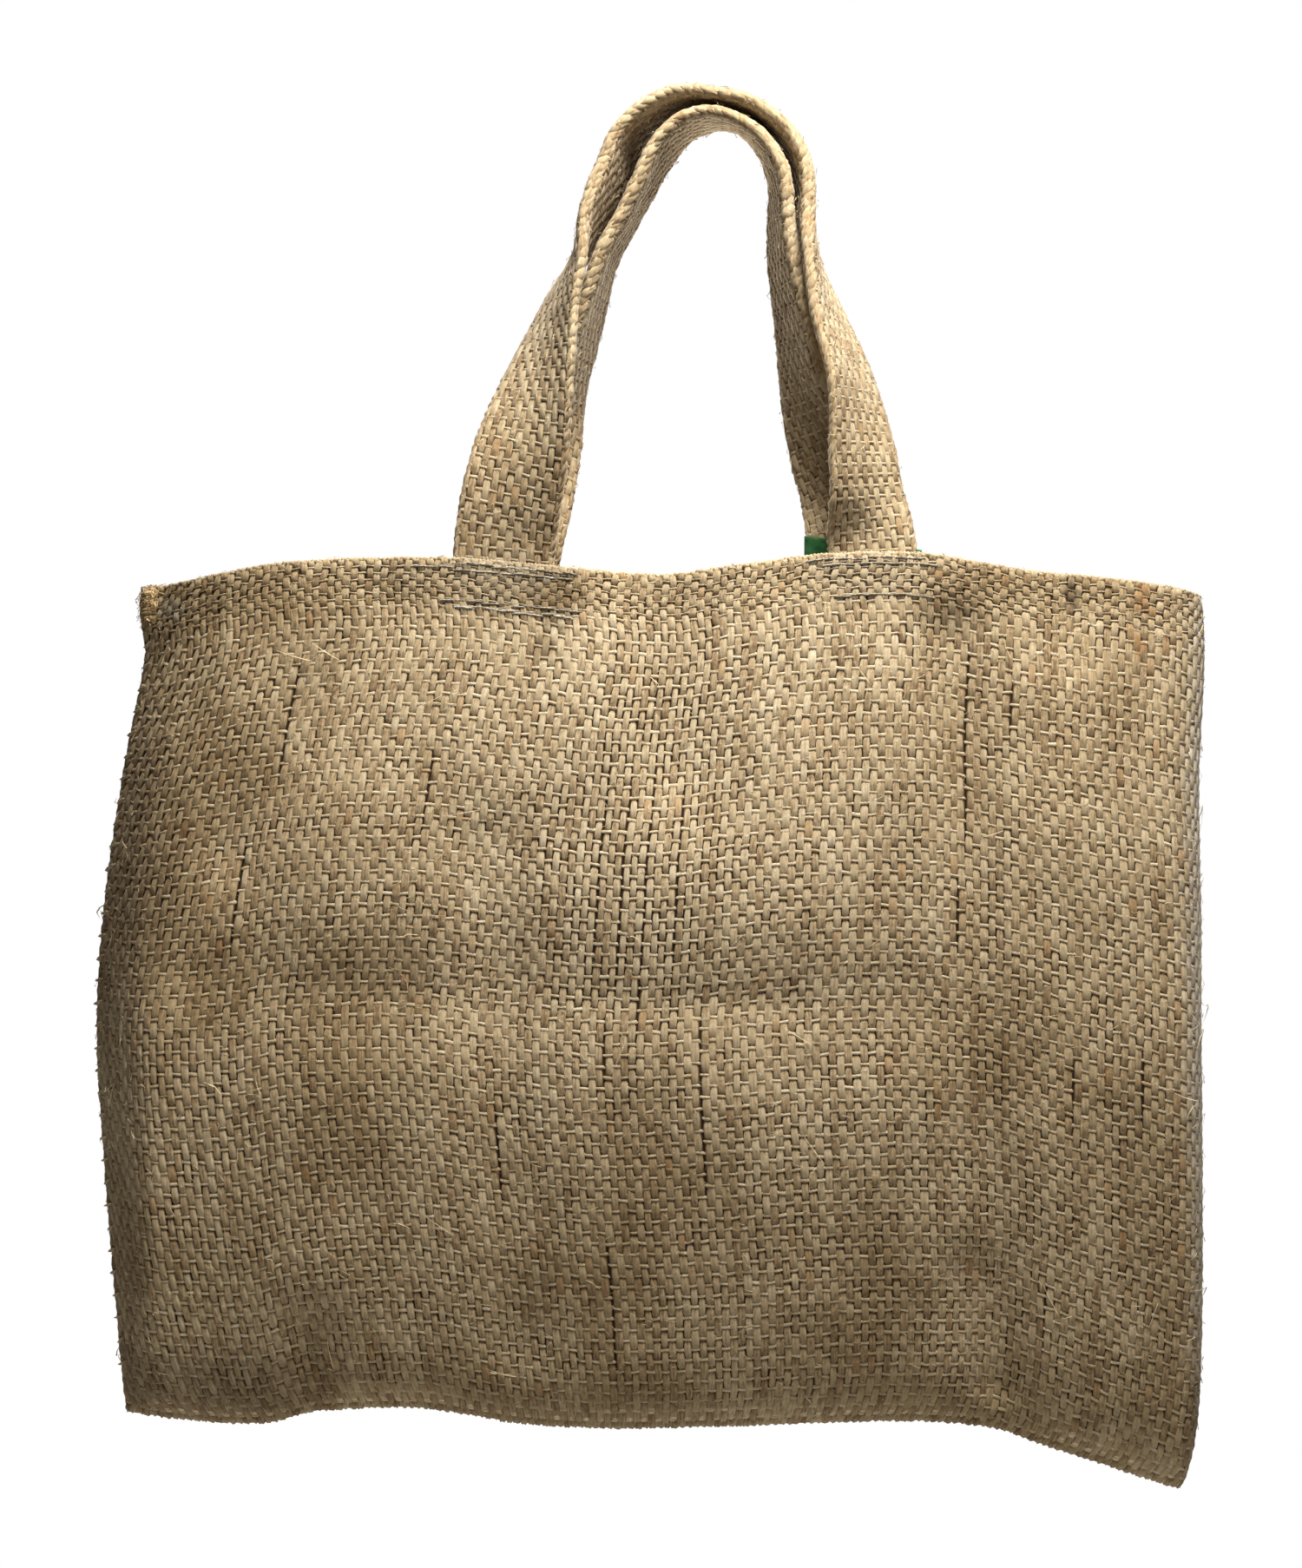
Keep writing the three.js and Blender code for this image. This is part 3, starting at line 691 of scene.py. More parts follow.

# %% [markdown]
# ## The weave
#
# In this cloth each warp shows as a short float of two flat bundles, over a weft and under the
# next, and the thin wefts show as dashes between the ends of the floats. A bump texture would
# look flat at this size, so each float and dash is a small mesh. Its template is drawn once, and
# Geometry Nodes set it at every second crossing, with its own width, length, lean and tone. Each
# template also stores where it dips, and there the material paints shade into the colour. The
# loose fibres have the third template.

# %% Templates of a float, a dash and a hair


def grid_patch(name, x, y, height, hollow):
    """An open patch of quads over a grid; height and painted shade are arrays of the grid's size.
    """
    across, along = x.shape[1], x.shape[0]
    points = np.stack([x, y, height], -1).reshape(-1, 3)
    quads = [(r * across + c, r * across + c + 1, (r + 1) * across + c + 1, (r + 1) * across + c)
             for r in range(along - 1) for c in range(across - 1)]
    mesh = bpy.data.meshes.new(name)
    mesh.from_pydata(points.tolist(), [], quads)
    mesh.polygons.foreach_set("use_smooth", [True] * len(quads))
    mesh.attributes.new("hollow", "FLOAT", "POINT").data.foreach_set("value", hollow.ravel())
    return link(bpy.data.objects.new(name, mesh))


def make_float():
    """One warp float, a unit wide, long and high: two bundles with a crease between them."""
    across = np.array([-0.5, -0.27, 0.02, 0.29, 0.5])
    along = np.array([-0.5, -0.34, 0, 0.34, 0.5])
    width = np.array([0.45, 0.88, 1, 0.88, 0.45])
    height = np.full((5, 5), -0.1)  # its edges and ends dip under its neighbours
    height[1:-1, 1:-1] = np.outer([0.68, 1, 0.68], [0.97, 0.62, 0.9])
    # Shade is painted into the colour where it dips: most at its ends, less at its edges and
    # crease.
    sides, ends = np.array([0.6, 0, 0.35, 0, 0.6]), np.array([1, 0.45, 0, 0.45, 1])
    hollow = np.maximum(sides[None], ends[:, None])
    x, y = across[None] * width[:, None], np.repeat(along[:, None], 5, 1)
    return grid_patch("float_template", x, y, height, hollow)


def make_dash():
    """One weft dash, a unit long, thick and high: a thin twisted yarn."""
    along = np.array([-0.5, -0.32, 0, 0.32, 0.5])
    arch = np.array([-0.2, 0.85, 1, 0.85, -0.2])
    x = np.repeat(along[None], 3, 0)
    y = np.repeat(np.array([[-0.5], [0], [0.5]]), 5, 1) * np.array([0.7, 0.95, 1, 0.95, 0.7])
    height = np.stack([-0.2 + 0 * arch, arch, -0.2 + 0 * arch])
    # Shade is painted along both edges of the dash, more along the lower one, and at its ends.
    hollow = np.stack([0.3 + 0 * arch, np.array([0.6, 0.05, 0, 0.05, 0.6]), 0.7 + 0 * arch])
    return grid_patch("dash_template", x, y, height, hollow)


def make_hair():
    """One loose fibre, a unit long: a ribbon that curls up and twists, so it shows all round."""
    at = np.linspace(0, 1, 8)
    wide = 0.013 * np.array([0.7, 1, 1, 0.9, 0.9, 0.8, 0.6, 0.1])
    bend = 2.3 * math.pi * at
    middle = np.stack([0.75 * at + 0.12 * np.sin(bend) - 0.4, 0.17 * (1 - np.cos(0.8 * bend)),
                       np.sin(math.pi * (0.06 + 0.8 * at)) - 0.2], -1)
    twist = 0.5 + 2.6 * at
    aside = np.stack([0 * at, wide * np.cos(twist), 5 * wide * np.sin(twist)], -1)
    x, y, z = (np.stack([(middle - aside)[:, k], (middle + aside)[:, k]]) for k in range(3))
    return grid_patch("hair_template", x, y, z, 0 * x)


float_template, dash_template, hair_template = make_float(), make_dash(), make_hair()
print("a float has", 2 * len(float_template.data.polygons), "triangles")

# %% [markdown]
# ## Slits between the warps
#
# Where the cloth was pulled, neighbouring warps have parted and a dark slit shows between them.
# Each slit is a line along the cloth: the threads on both sides of it are pushed away from it,
# most at its middle, and the push dies out over two or three warps. Moving the threads keeps
# the weave whole, which a hole cut in the mesh would not.

# %% Where the slits are
# x and the two heights in millimetres on the front face, and how far the slit is open.
SLITS = table(
    "x top bottom gap",
    (-188.8, -244.5, -308.8, 1.5), (-140.6, -252.5, -268.6, 1.3), (-126.5, -288.7, -332.9, 1.5),
    (-216.9, -332.9, -389.2, 1.4), (-48, -296.7, -401.3, 0.6), (-36, -300, -399, 0.7),
    (-24, -297, -401, 0.6), (-12, -303, -398, 0.6), (-32, -397, -429.4, 1.4),
    (-5, -409, -509.8, 1.4), (-50, -421, -453.5, 1.6), (-100.4, -457.5, -505.8, 1.5),
    (120.7, -240, -341, 1.5), (140.8, -256.5, -288.7, 1.3), (114.7, -349, -389, 1.4),
    (199, -425, -473.6, 1.3), (165.8, -429, -469.6, 1.3), (-50, -517.8, -590, 1.5),
    (156, -542, -566, 1.3),
)
SLIT_REACH = 2.4  # how many warps on each side give way
SLIT_OPENING = 0.64  # the share of its gap by which a slit pushes each side away


def thread_place(x, z):
    """The thread map's place of a point on the front face, as metres round and metres down."""
    downs = np.linspace(0, 1, 400)
    down = float(np.interp(-z, -height_at(x, downs), downs))
    ring = body_ring(down, RELIEF, RELIEF)
    length, in_front = run_of(ring), sum(LINE_POINTS.values())
    share = float(np.interp(x, ring[:in_front, 0], length[:in_front])) / length[-1]
    drop = down * SEAM_LENGTH
    row = drop / HEM_PITCH if drop < HEM_HEIGHT else HEM_ROWS + (drop - HEM_HEIGHT) / FACE_PITCH
    return share * WARPS * WARP_PITCH * MM, row * FACE_PITCH * MM


def make_slit_group():
    """How far one slit pushes a point aside."""
    tree, inp, out = new_group("GeometryNodeTree", "slit", {
        "X": 0.0, "Y": 0.0, "Slit X": 0.0, "Top": 0.0, "Bottom": 0.0, "Gap": 0.001, "Reach": 0.01,
        "End": 0.012}, {"Push": 0.0})
    away = minus(tree, inp["X"], inp["Slit X"])
    near = ramp(tree, calc(tree, "ABSOLUTE", away), 0.0, inp["Reach"], 1.0, 0.0)
    start = ramp(tree, minus(tree, inp["Y"], inp["Top"]), 0.0, inp["End"])
    end = ramp(tree, minus(tree, inp["Bottom"], inp["Y"]), 0.0, inp["End"])
    gap = times(tree, calc(tree, "SIGN", away), inp["Gap"])
    tree.links.new(times(tree, gap, times(tree, near, start, end)), out["Push"])
    return tree


slit_group = make_slit_group()


def all_slits(tree, x, y):
    """The sum of what every slit does to a point."""
    total = 0.0
    for sx, top, bottom, gap in zip(*SLITS.values()):
        (column, start), (_, end) = thread_place(sx, top), thread_place(sx, bottom)
        between_warps = round(column / (WARP_PITCH * MM)) * WARP_PITCH * MM
        node = add(tree, "GeometryNodeGroup", node_tree=slit_group)
        values = {"X": x, "Y": y, "Slit X": between_warps, "Top": start, "Bottom": end,
                  "Gap": gap * SLIT_OPENING * MM, "Reach": SLIT_REACH * WARP_PITCH * MM}
        for name, value in values.items():
            fill(tree, node.inputs[name], value)
        total = plus(tree, total, node.outputs["Push"])
    return total


# %% [markdown]
# ## One tree for all that repeats
#
# The tree makes a grid of places and shifts them, by chance and where a slit parts them. It sets
# the template on each with its own size, lean and tone, lets the threads wander a little, and
# wraps all of it on the cloth. Its named inputs say how many there are, how large and how
# uneven, so the same tree lays the warp floats, the weft dashes, the stitches and the loose
# fibres. Tone is stored for the material: it drifts slowly along a warp, because one yarn runs
# the whole height, and it jumps from float to float as well.

# %% The weaving tree
MANY_INPUTS = {
    "Template": OBJECT, "Columns": 100, "Rows": 80, "Step": 2, "Parity": 0, "First Column": 0.0,
    "Start Row": 0.0, "Row Step": 1.0, "Column Pitch": 0.0037, "Width": 0.0035,
    "Length": 0.008, "Height": 0.001, "Size Spread": 0.1, "Lean": 0.0, "Edge Lean": 0.0,
    "Lean Spread": 0.05, "Place Spread": 0.0003, "Edge Mess": 0.0, "Wander": 0.0004,
    "Seed": 1, "Slit Share": 1.0, "Open Share": 1.0, "Material": MATERIAL, **MAP_INPUTS,
}
# The front's strained middle, where the warps are narrower by a share and let the wefts show.
OPEN_PATCH = {"x": -32, "z": -330, "wide": 42, "tall": 95, "narrow": 0.17}
# The threads lie HEM_MESS times as untidily in the hem, and SEAM_MESS more beside the upper part
# of the seam. It fades out in these ranges, in millimetres down the bag and round it.
HEM_MESS, HEM_FADE = 2.4, (22, 45)
SEAM_MESS, SEAM_FADE_DOWN, SEAM_FADE_ROUND = 1.2, (150, 240), (15, 85)


def chance(tree, low, high, seed, salt):
    """A random number for each place, from the tree's seed and a salt of its own."""
    inputs = {"Min_001": low, "Max_001": high, "Seed": plus(tree, seed, float(salt))}
    return find(add(tree, "FunctionNodeRandomValue", inputs).outputs, "Value_001")


def spread_size(tree, size, spread, seed, salt):
    """A size that is larger or smaller by up to a share, by chance."""
    change = times(tree, chance(tree, -1.0, 1.0, seed, salt), spread)
    return times(tree, size, plus(tree, 1.0, change))


def open_patch(tree, x, y, share):
    """How much narrower the warps are in the strained middle of the front."""
    size = OPEN_PATCH["wide"] * MM, OPEN_PATCH["tall"] * MM
    away = from_ellipse(tree, x, y, thread_place(OPEN_PATCH["x"], OPEN_PATCH["z"]), size)
    near = ramp(tree, away, 0.6, 1.3, OPEN_PATCH["narrow"], 0.0)
    return minus(tree, 1.0, times(tree, near, share))


def fade(tree, value, limits, high=1.0, low=0.0):
    """A smooth step down from high to low between two limits in millimetres."""
    return ramp(tree, value, limits[0] * MM, limits[1] * MM, high, low)


def grid_place(tree, inp):
    """Where each template belongs before chance moves it, in metres round and metres down."""
    index = add(tree, "GeometryNodeInputIndex").outputs[0]
    row = calc(tree, "FLOOR", calc(tree, "DIVIDE", plus(tree, index, 0.5), inp["Columns"]))
    column = minus(tree, index, times(tree, row, inp["Columns"]))
    stagger = calc(tree, "MODULO", plus(tree, row, inp["Parity"]), inp["Step"])
    column = plus(tree, times(tree, column, inp["Step"]), stagger)
    x = times(tree, plus(tree, column, inp["First Column"]), inp["Column Pitch"])
    down = plus(tree, times(tree, row, inp["Row Step"]), inp["Start Row"])
    return x, times(tree, down, inp["Row Pitch"])


def tone_of(tree, x, y, seed):
    """The tone of a template: streaks along the warps, and a chance part of its own."""
    streak = noise_of(tree, combine(tree, times(tree, x, 190.0), times(tree, y, 9.0), seed), 1.0)
    drift = times(tree, ramp(tree, streak, 0.3, 0.7), 0.3)
    return plus(tree, drift, chance(tree, 0.2, 0.5, seed, 41))


def make_weaving():
    """Sets a template at every place of a grid, unevenly, and wraps them all on the cloth."""
    outputs = {"Geometry": GEOMETRY}
    tree, inp, out = new_group("GeometryNodeTree", "weave_threads", MANY_INPUTS, outputs)
    seed, spread = inp["Seed"], inp["Size Spread"]
    x, y = grid_place(tree, inp)
    near_seam = times(tree, fade(tree, x, SEAM_FADE_ROUND), fade(tree, y, SEAM_FADE_DOWN))
    mess = plus(tree, fade(tree, y, HEM_FADE, HEM_MESS, 1.0), times(tree, near_seam, SEAM_MESS))
    mess = plus(tree, 1.0, times(tree, minus(tree, mess, 1.0), inp["Edge Mess"]))
    place_spread = times(tree, inp["Place Spread"], mess)
    off_x = times(tree, chance(tree, -0.5, 0.5, seed, 11), place_spread)
    off_y = times(tree, chance(tree, -1.0, 1.0, seed, 12), place_spread)
    off_x = plus(tree, off_x, times(tree, all_slits(tree, x, y), inp["Slit Share"]))
    places = add(tree, "GeometryNodePoints", {
        "Count": times(tree, inp["Columns"], inp["Rows"]),
        "Position": combine(tree, plus(tree, x, off_x), plus(tree, y, off_y))})
    width = times(tree, inp["Width"], open_patch(tree, x, y, inp["Open Share"]))
    size = combine(tree, spread_size(tree, width, spread, seed, 21),
                   spread_size(tree, inp["Length"], spread, seed, 22),
                   spread_size(tree, inp["Height"], spread, seed, 23))
    lean_spread = times(tree, inp["Lean Spread"], mess)
    by_chance = times(tree, chance(tree, -1.0, 1.0, seed, 31), lean_spread)
    lean = plus(tree, inp["Lean"], by_chance, times(tree, near_seam, inp["Edge Lean"]))
    template = add(tree, "GeometryNodeObjectInfo", {"Object": inp["Template"], "As Instance": True})
    turn = add(tree, "FunctionNodeEulerToRotation", {"Euler": combine(tree, 0.0, 0.0, lean)})
    many = add(tree, "GeometryNodeInstanceOnPoints", {
        "Points": places.outputs[0], "Instance": find(template.outputs, "Geometry"),
        "Rotation": turn.outputs[0], "Scale": size})
    here_x, here_y, _ = separate(tree, add(tree, "GeometryNodeInputPosition").outputs[0])
    toned = add(tree, "GeometryNodeStoreNamedAttribute", {
        "Geometry": many.outputs[0], "Name": "tone", "Value": tone_of(tree, here_x, here_y, seed)},
        data_type="FLOAT", domain="INSTANCE")
    real = add(tree, "GeometryNodeRealizeInstances", {"Geometry": toned.outputs[0]})
    waves = combine(tree, times(tree, here_x, 60.0), times(tree, here_y, 35.0), 5.0)
    wander = times(tree, minus(tree, noise_of(tree, waves, 1.0), 0.5), inp["Wander"])
    aside = add(tree, "GeometryNodeSetPosition", {
        "Geometry": real.outputs[0], "Offset": combine(tree, wander)})
    wrap = add(tree, "GeometryNodeGroup", node_tree=wrap_on_cloth)
    tree.links.new(aside.outputs[0], wrap.inputs["Geometry"])
    for name in MAP_INPUTS:
        tree.links.new(inp[name], wrap.inputs[name])
    whole = add(tree, "GeometryNodeRealizeInstances", {"Geometry": wrap.outputs[0]})
    done = add(tree, "GeometryNodeSetMaterial", {
        "Geometry": whole.outputs[0], "Material": inp["Material"]})
    tree.links.new(done.outputs[0], out["Geometry"])
    return tree


weave_threads = make_weaving()


def grow(name, tree, inputs):
    """Runs a tree once and keeps its result as a plain mesh object."""
    maker = link(bpy.data.objects.new(name + "_maker", bpy.data.meshes.new(name + "_start")))
    modifier = maker.modifiers.new("threads", "NODES")
    modifier.node_group = tree
    for item in tree.interface.items_tree:
        if item.item_type == "SOCKET" and item.in_out == "INPUT" and item.name in inputs:
            modifier[item.identifier] = inputs[item.name]
    grown = maker.evaluated_get(bpy.context.evaluated_depsgraph_get())
    mesh = bpy.data.meshes.new_from_object(grown)
    bpy.data.objects.remove(maker)
    mesh.name = name
    print(name, "has", sum(len(p.vertices) - 2 for p in mesh.polygons), "triangles")
    return link(bpy.data.objects.new(name, mesh))


print("the weaving tree has", len(weave_threads.nodes), "nodes")

# %% [markdown]
# ## The look of hemp yarn
#
# Raw hemp runs from pale straw through tan to grey brown, and every yarn is a bundle of long
# flat fibres. An image could hold that, but it would need a fitting photograph. Instead one
# shader group builds the colour from the tone that the weave stored on each float, streaks it
# along the fibres with stretched noise, and paints shade into the hollows that the weave marked.

# %% The fibre group


def srgb(red, green, blue):
    """A colour as seen on a screen, 0 to 255, as the linear colour that Blender uses."""
    def linear(c):
        c = c / 255
        return c / 12.92 if c <= 0.04045 else ((c + 0.055) / 1.055) ** 2.4
    return (linear(red), linear(green), linear(blue), 1)


COLOR = (1.0, 1.0, 1.0, 1.0)
FIBRE_TONES = (
    (0.0, srgb(130, 104, 73)), (0.25, srgb(165, 141, 106)), (0.5, srgb(193, 172, 136)),
    (0.75, srgb(207, 188, 154)), (1.0, srgb(224, 208, 177)),
)
# The colour of the shade painted into the yarn's hollows, and of rust on a few floats.
HOLLOW_SHADE_COLOUR, RUST_COLOUR = srgb(84, 62, 36), srgb(176, 132, 80)
RUSTY_FLOATS = (0.97, 0.99)  # about one float in fifty is rusty


def colour_ramp(tree, value, stops):
    node = add(tree, "ShaderNodeValToRGB", {"Fac": value})
    points = node.color_ramp.elements
    while len(points) < len(stops):
        points.new(0.5)
    for point, (place, colour) in zip(points, stops):
        point.position, point.color = place, colour
    return node.outputs["Color"]


def mix_colour(tree, share, a, b, blend_type="MIX"):
    node = add(tree, "ShaderNodeMix", data_type="RGBA", blend_type=blend_type)
    for name, value in (("Factor_Float", share), ("A_Color", a), ("B_Color", b)):
        fill(tree, find(node.inputs, name), value)
    return find(node.outputs, "Result_Color")


def make_fibre_group():
    """Colour and height of yarn, with shade painted into its hollows; Across and Along say how
    fine its streaks are, per metre.
    """
    tree, inp, out = new_group("ShaderNodeTree", "hemp_fibre", {
        "Thread": VECTOR, "Tone": 0.5, "Hollow": 0.0, "Across": 1500.0, "Along": 110.0,
        "Lift": 0.0, "Depth": 0.85}, {"Color": COLOR, "Height": 0.0})
    x, y, _ = separate(tree, inp["Thread"])
    stretched = combine(tree, times(tree, x, inp["Across"]), times(tree, y, inp["Along"]))
    coarse, fine = noise_of(tree, stretched, 1.0, 2.0), noise_of(tree, stretched, 2.7, 2.0)
    mottle = noise_of(tree, inp["Thread"], 420.0)
    changes = [times(tree, minus(tree, noise, 0.5), share)
               for noise, share in ((coarse, 1.2), (fine, 0.4), (mottle, 0.7))]
    tone = plus(tree, inp["Tone"], inp["Lift"], *changes)
    colour = colour_ramp(tree, tone, FIBRE_TONES)
    rare = ramp(tree, calc(tree, "FRACT", times(tree, inp["Tone"], 57.3)), *RUSTY_FLOATS)
    colour = mix_colour(tree, times(tree, rare, 0.4), colour, RUST_COLOUR)
    # Shade is painted into the hollows that the templates marked, as far as the depth allows.
    hollow = times(tree, calc(tree, "POWER", inp["Hollow"], 1.4), inp["Depth"])
    colour = mix_colour(tree, hollow, colour, HOLLOW_SHADE_COLOUR)
    tree.links.new(colour, out["Color"])
    tree.links.new(plus(tree, coarse, times(tree, fine, 0.6)), out["Height"])
    return tree


hemp_fibre = make_fibre_group()
print("the fibre group has", len(hemp_fibre.nodes), "nodes")

# %% [markdown]
# ## Stains, soil and painted shade
#
# The bag is worn: there are a few brown stains and grey smudges along the hem stitching. Its
# lower half, sides, seam and hem are darker, partly from dust and partly as painted shade. A few
# patches, among them the lower left, are painted in as shade, and a long one down the right fold
# as light. They belong to places on the bag and not to single threads, so a second group reads
# Object coordinates, and each material lays it over its own colour. A third group draws the
# finest fibres, too thin to be meshes, which lie on the yarns in any direction.

# %% The soil and painted shade group, and the lying fibres
# Dust and painted shade, by area: the cloth is darkened towards the bottom, the sides, the seam
# and the hem, partly as dust and partly as painted shade. The steps of an area are multiplied,
# and the areas are added. A step runs along x, z or "out", the distance from the bag's middle
# line: from where to where in millimetres, and how strong it is at both ends.
DUST_AND_SHADE = {
    "lower half": [("z", -330, -560, 0, 0.85)],
    "bottom": [("z", -560, -600, 0, 0.3)],
    "sides": [("out", 60, 150, 0, 1), ("z", -200, -240, 0, 0.75), ("x", 185, 235, 1, 0.1),
              ("z", -500, -400, 0.15, 1)],
    "seam": [("x", -190, -262, 0, 1), ("z", -440, -370, -0.2, 0.85), ("z", -225, -300, 0.35, 1)],
    "hem": [("z", -240, -220, 0, 0.6)],
}
MIDDLE_LINE = -20  # the bag's middle in x
DUST_AND_SHADE_COLOUR, CLOUD_COLOUR = (0.6, 0.55, 0.46, 1), srgb(120, 96, 62)
# The colours of the stains, of the painted shade and of the painted light.
STAIN_AND_SHADING_COLOURS = {
    "olive": srgb(104, 82, 48), "rust": srgb(150, 108, 62), "grey": srgb(146, 136, 116),
    "ochre": srgb(206, 178, 130), "pale": srgb(206, 198, 184), "shade": srgb(58, 48, 34),
}
# x, z, half-width and half-height in millimetres, strength, and the stain's kind. The kind shade
# is painted shade: the shade of a small pucker, of the lower left and of a band by the seam. The
# long pale patch down the right fold is painted light, and the ochre of the wound corner is partly
# its own colour and partly painted light against the shade there.
STAINS_AND_PAINTED_SHADING = (
    (-72, -224, 13, 15, 0.6, "olive"), (-78, -246, 6, 7, 0.5, "olive"),
    (200.5, -224, 4, 8, 0.5, "rust"), (199, -245.5, 3, 5, 0.5, "rust"),
    (168, -222, 4, 8, 0.5, "shade"), (-98, -213, 28, 15, 0.35, "grey"),
    (73, -213, 30, 14, 0.25, "grey"), (-266, -224, 8, 13, 0.9, "ochre"),
    (-252, -219, 5, 4, 0.6, "olive"), (-254, -228, 9, 6, 0.5, "grey"),
    (236, -400, 17, 210, 0.4, "pale"), (-233, -592, 62, 22, 0.24, "shade"),
    (-262, -350, 22, 60, 0.17, "shade"),
)


def dust_and_shade_on(tree, x, z, cloud):
    """How much dust and painted shade darken a place, from 0 to 1; cloud makes it patchy."""
    ways = {"x": x, "z": z, "out": calc(tree, "ABSOLUTE", minus(tree, x, MIDDLE_LINE * MM))}
    areas = [times(tree, *(ramp(tree, ways[way], start * MM, end * MM, low, high)
                           for way, start, end, low, high in steps)) for steps in DUST_AND_SHADE.values()]
    dust_and_shade = times(tree, plus(tree, *areas), plus(tree, 0.6, times(tree, cloud, 0.7)))
    return calc(tree, "MAXIMUM", calc(tree, "MINIMUM", dust_and_shade, 1.0), 0.0)


def make_soil_and_shade_group():
    """Clouds, dust and painted shade all over; stains, painted shade and light on the front."""
    inputs = {"Color": COLOR, "Dust": 1.0}
    tree, inp, out = new_group("ShaderNodeTree", "soil", inputs, {"Color": COLOR})
    place = add(tree, "ShaderNodeTexCoord").outputs["Object"]
    x, y, z = separate(tree, place)
    cloud = ramp(tree, noise_of(tree, place, 17.0, 3.0), 0.35, 0.75)
    colour = mix_colour(tree, times(tree, cloud, 0.16), inp["Color"], CLOUD_COLOUR)
    dust_and_shade = times(tree, dust_and_shade_on(tree, x, z, cloud), inp["Dust"])
    colour = mix_colour(tree, dust_and_shade, colour, DUST_AND_SHADE_COLOUR, "MULTIPLY")
    uneven = times(tree, minus(tree, noise_of(tree, place, 260.0, 2.0), 0.5), 1.6)
    in_front = ramp(tree, y, 4 * MM, -4 * MM)
    for sx, sz, wide, tall, strength, kind in STAINS_AND_PAINTED_SHADING:
        away = from_ellipse(tree, x, z, (sx * MM, sz * MM), (wide * MM, tall * MM))
        mask = ramp(tree, plus(tree, away, uneven), 1.15, 0.55, 0.0, strength)
        # Painted shade darkens the colour under it, and the other kinds lay their colour over it.
        how = "MULTIPLY" if kind == "shade" else "MIX"
        colour = mix_colour(tree, times(tree, mask, in_front), colour, STAIN_AND_SHADING_COLOURS[kind], how)
    tree.links.new(colour, out["Color"])
    return tree


FUZZ_LAYERS = 3
FUZZ_STEP = (0.31, 0.17, 0.23)  # from one layer to the next, so that each has noise of its own


def make_fuzz_group():
    """Fine pale fibres that lie on the yarns: thin level lines of smooth noise, broken up."""
    outputs = {"Color": COLOR, "Height": 0.0}
    tree, inp, out = new_group("ShaderNodeTree", "lying_fibres", {"Color": COLOR}, outputs)
    place = add(tree, "ShaderNodeTexCoord").outputs["Object"]
    total = 0.0
    for k in range(FUZZ_LAYERS):
        moved = moved_by(tree, place, [k * step for step in FUZZ_STEP])
        level = calc(tree, "ABSOLUTE", minus(tree, noise_of(tree, moved, 110.0 + 45 * k, 0.0), 0.5))
        broken = ramp(tree, noise_of(tree, moved, 150.0, 1.0), 0.5, 0.56)
        line = times(tree, ramp(tree, level, 0.009, 0.004), broken)
        total = calc(tree, "MAXIMUM", total, line)
    colour = mix_colour(tree, times(tree, total, 0.5), inp["Color"], srgb(226, 210, 178))
    tree.links.new(colour, out["Color"])
    tree.links.new(total, out["Height"])
    return tree


soil, lying_fibres = make_soil_and_shade_group(), make_fuzz_group()
print(len(STAINS_AND_PAINTED_SHADING), "stains")

# %% [markdown]
# ## Materials
# The warp, the weft and the loose fibres share one recipe: the fibre group, the lying fibres and
# the soil with its painted shade in turn, with a fine bump. They differ in how fine their streaks
# are, how light they are, how dark the shade painted in their hollows goes and how much dust and
# painted shade they take. The sheet behind the threads is painted as dark as the shade in the
# gaps between real threads. On the inside, where no threads are laid, its material draws the
# weave instead, with shade painted between the threads, because little of it is ever seen.

# %% Materials of the yarns and the cloth behind them
YARN_BUMP = 0.6
# Painted shade for the backing: darkest between two warps, and lighter right behind one.
GAP_SHADE_COLOURS = srgb(44, 31, 18), srgb(122, 94, 60)  # between two warps, and right behind one


def attribute(tree, name):
    return add(tree, "ShaderNodeAttribute", attribute_name=name).outputs["Fac"]


def group_in(tree, group, values):
    node = add(tree, "ShaderNodeGroup", node_tree=group)
    for name, value in values.items():
        fill(tree, node.inputs[name], value)
    return node


def new_material(name, roughness, sheen=0.0):
    """A dull material, with its tree and its shader at hand."""
    material = bpy.data.materials.new(name)
    material.use_nodes = True
    tree = material.node_tree
    shader = tree.nodes["Principled BSDF"]
    shader.inputs["Roughness"].default_value = roughness
    shader.inputs["Specular IOR Level"].default_value = 0.25
    shader.inputs["Sheen Weight"].default_value = sheen
    return material, tree, shader


def yarn_material(name, across, along, lift, depth, dust_and_shade):
    """Yarn whose streaks run along it; across and along are streaks per metre, and the last two
    say how dark the shade painted in its hollows goes and how much dust and painted shade it takes.
    """
    material, tree, shader = new_material(name, 0.88, 0.12)
    thread = add(tree, "ShaderNodeUVMap", uv_map="thread").outputs["UV"]
    fibre = group_in(tree, hemp_fibre, {
        "Thread": thread, "Tone": attribute(tree, "tone"), "Hollow": attribute(tree, "hollow"),
        "Across": across, "Along": along, "Lift": lift, "Depth": depth})
    fuzzy = group_in(tree, lying_fibres, {"Color": fibre.outputs["Color"]})
    soiled_and_shaded = group_in(tree, soil, {"Color": fuzzy.outputs["Color"], "Dust": dust_and_shade})
    fill(tree, shader.inputs["Base Color"], soiled_and_shaded.outputs["Color"])
    height = plus(tree, fibre.outputs["Height"], fuzzy.outputs["Height"])
    bump = add(tree, "ShaderNodeBump", {
        "Height": height, "Strength": YARN_BUMP, "Distance": 0.35 * MM})
    fill(tree, shader.inputs["Normal"], bump.outputs["Normal"])
    return material


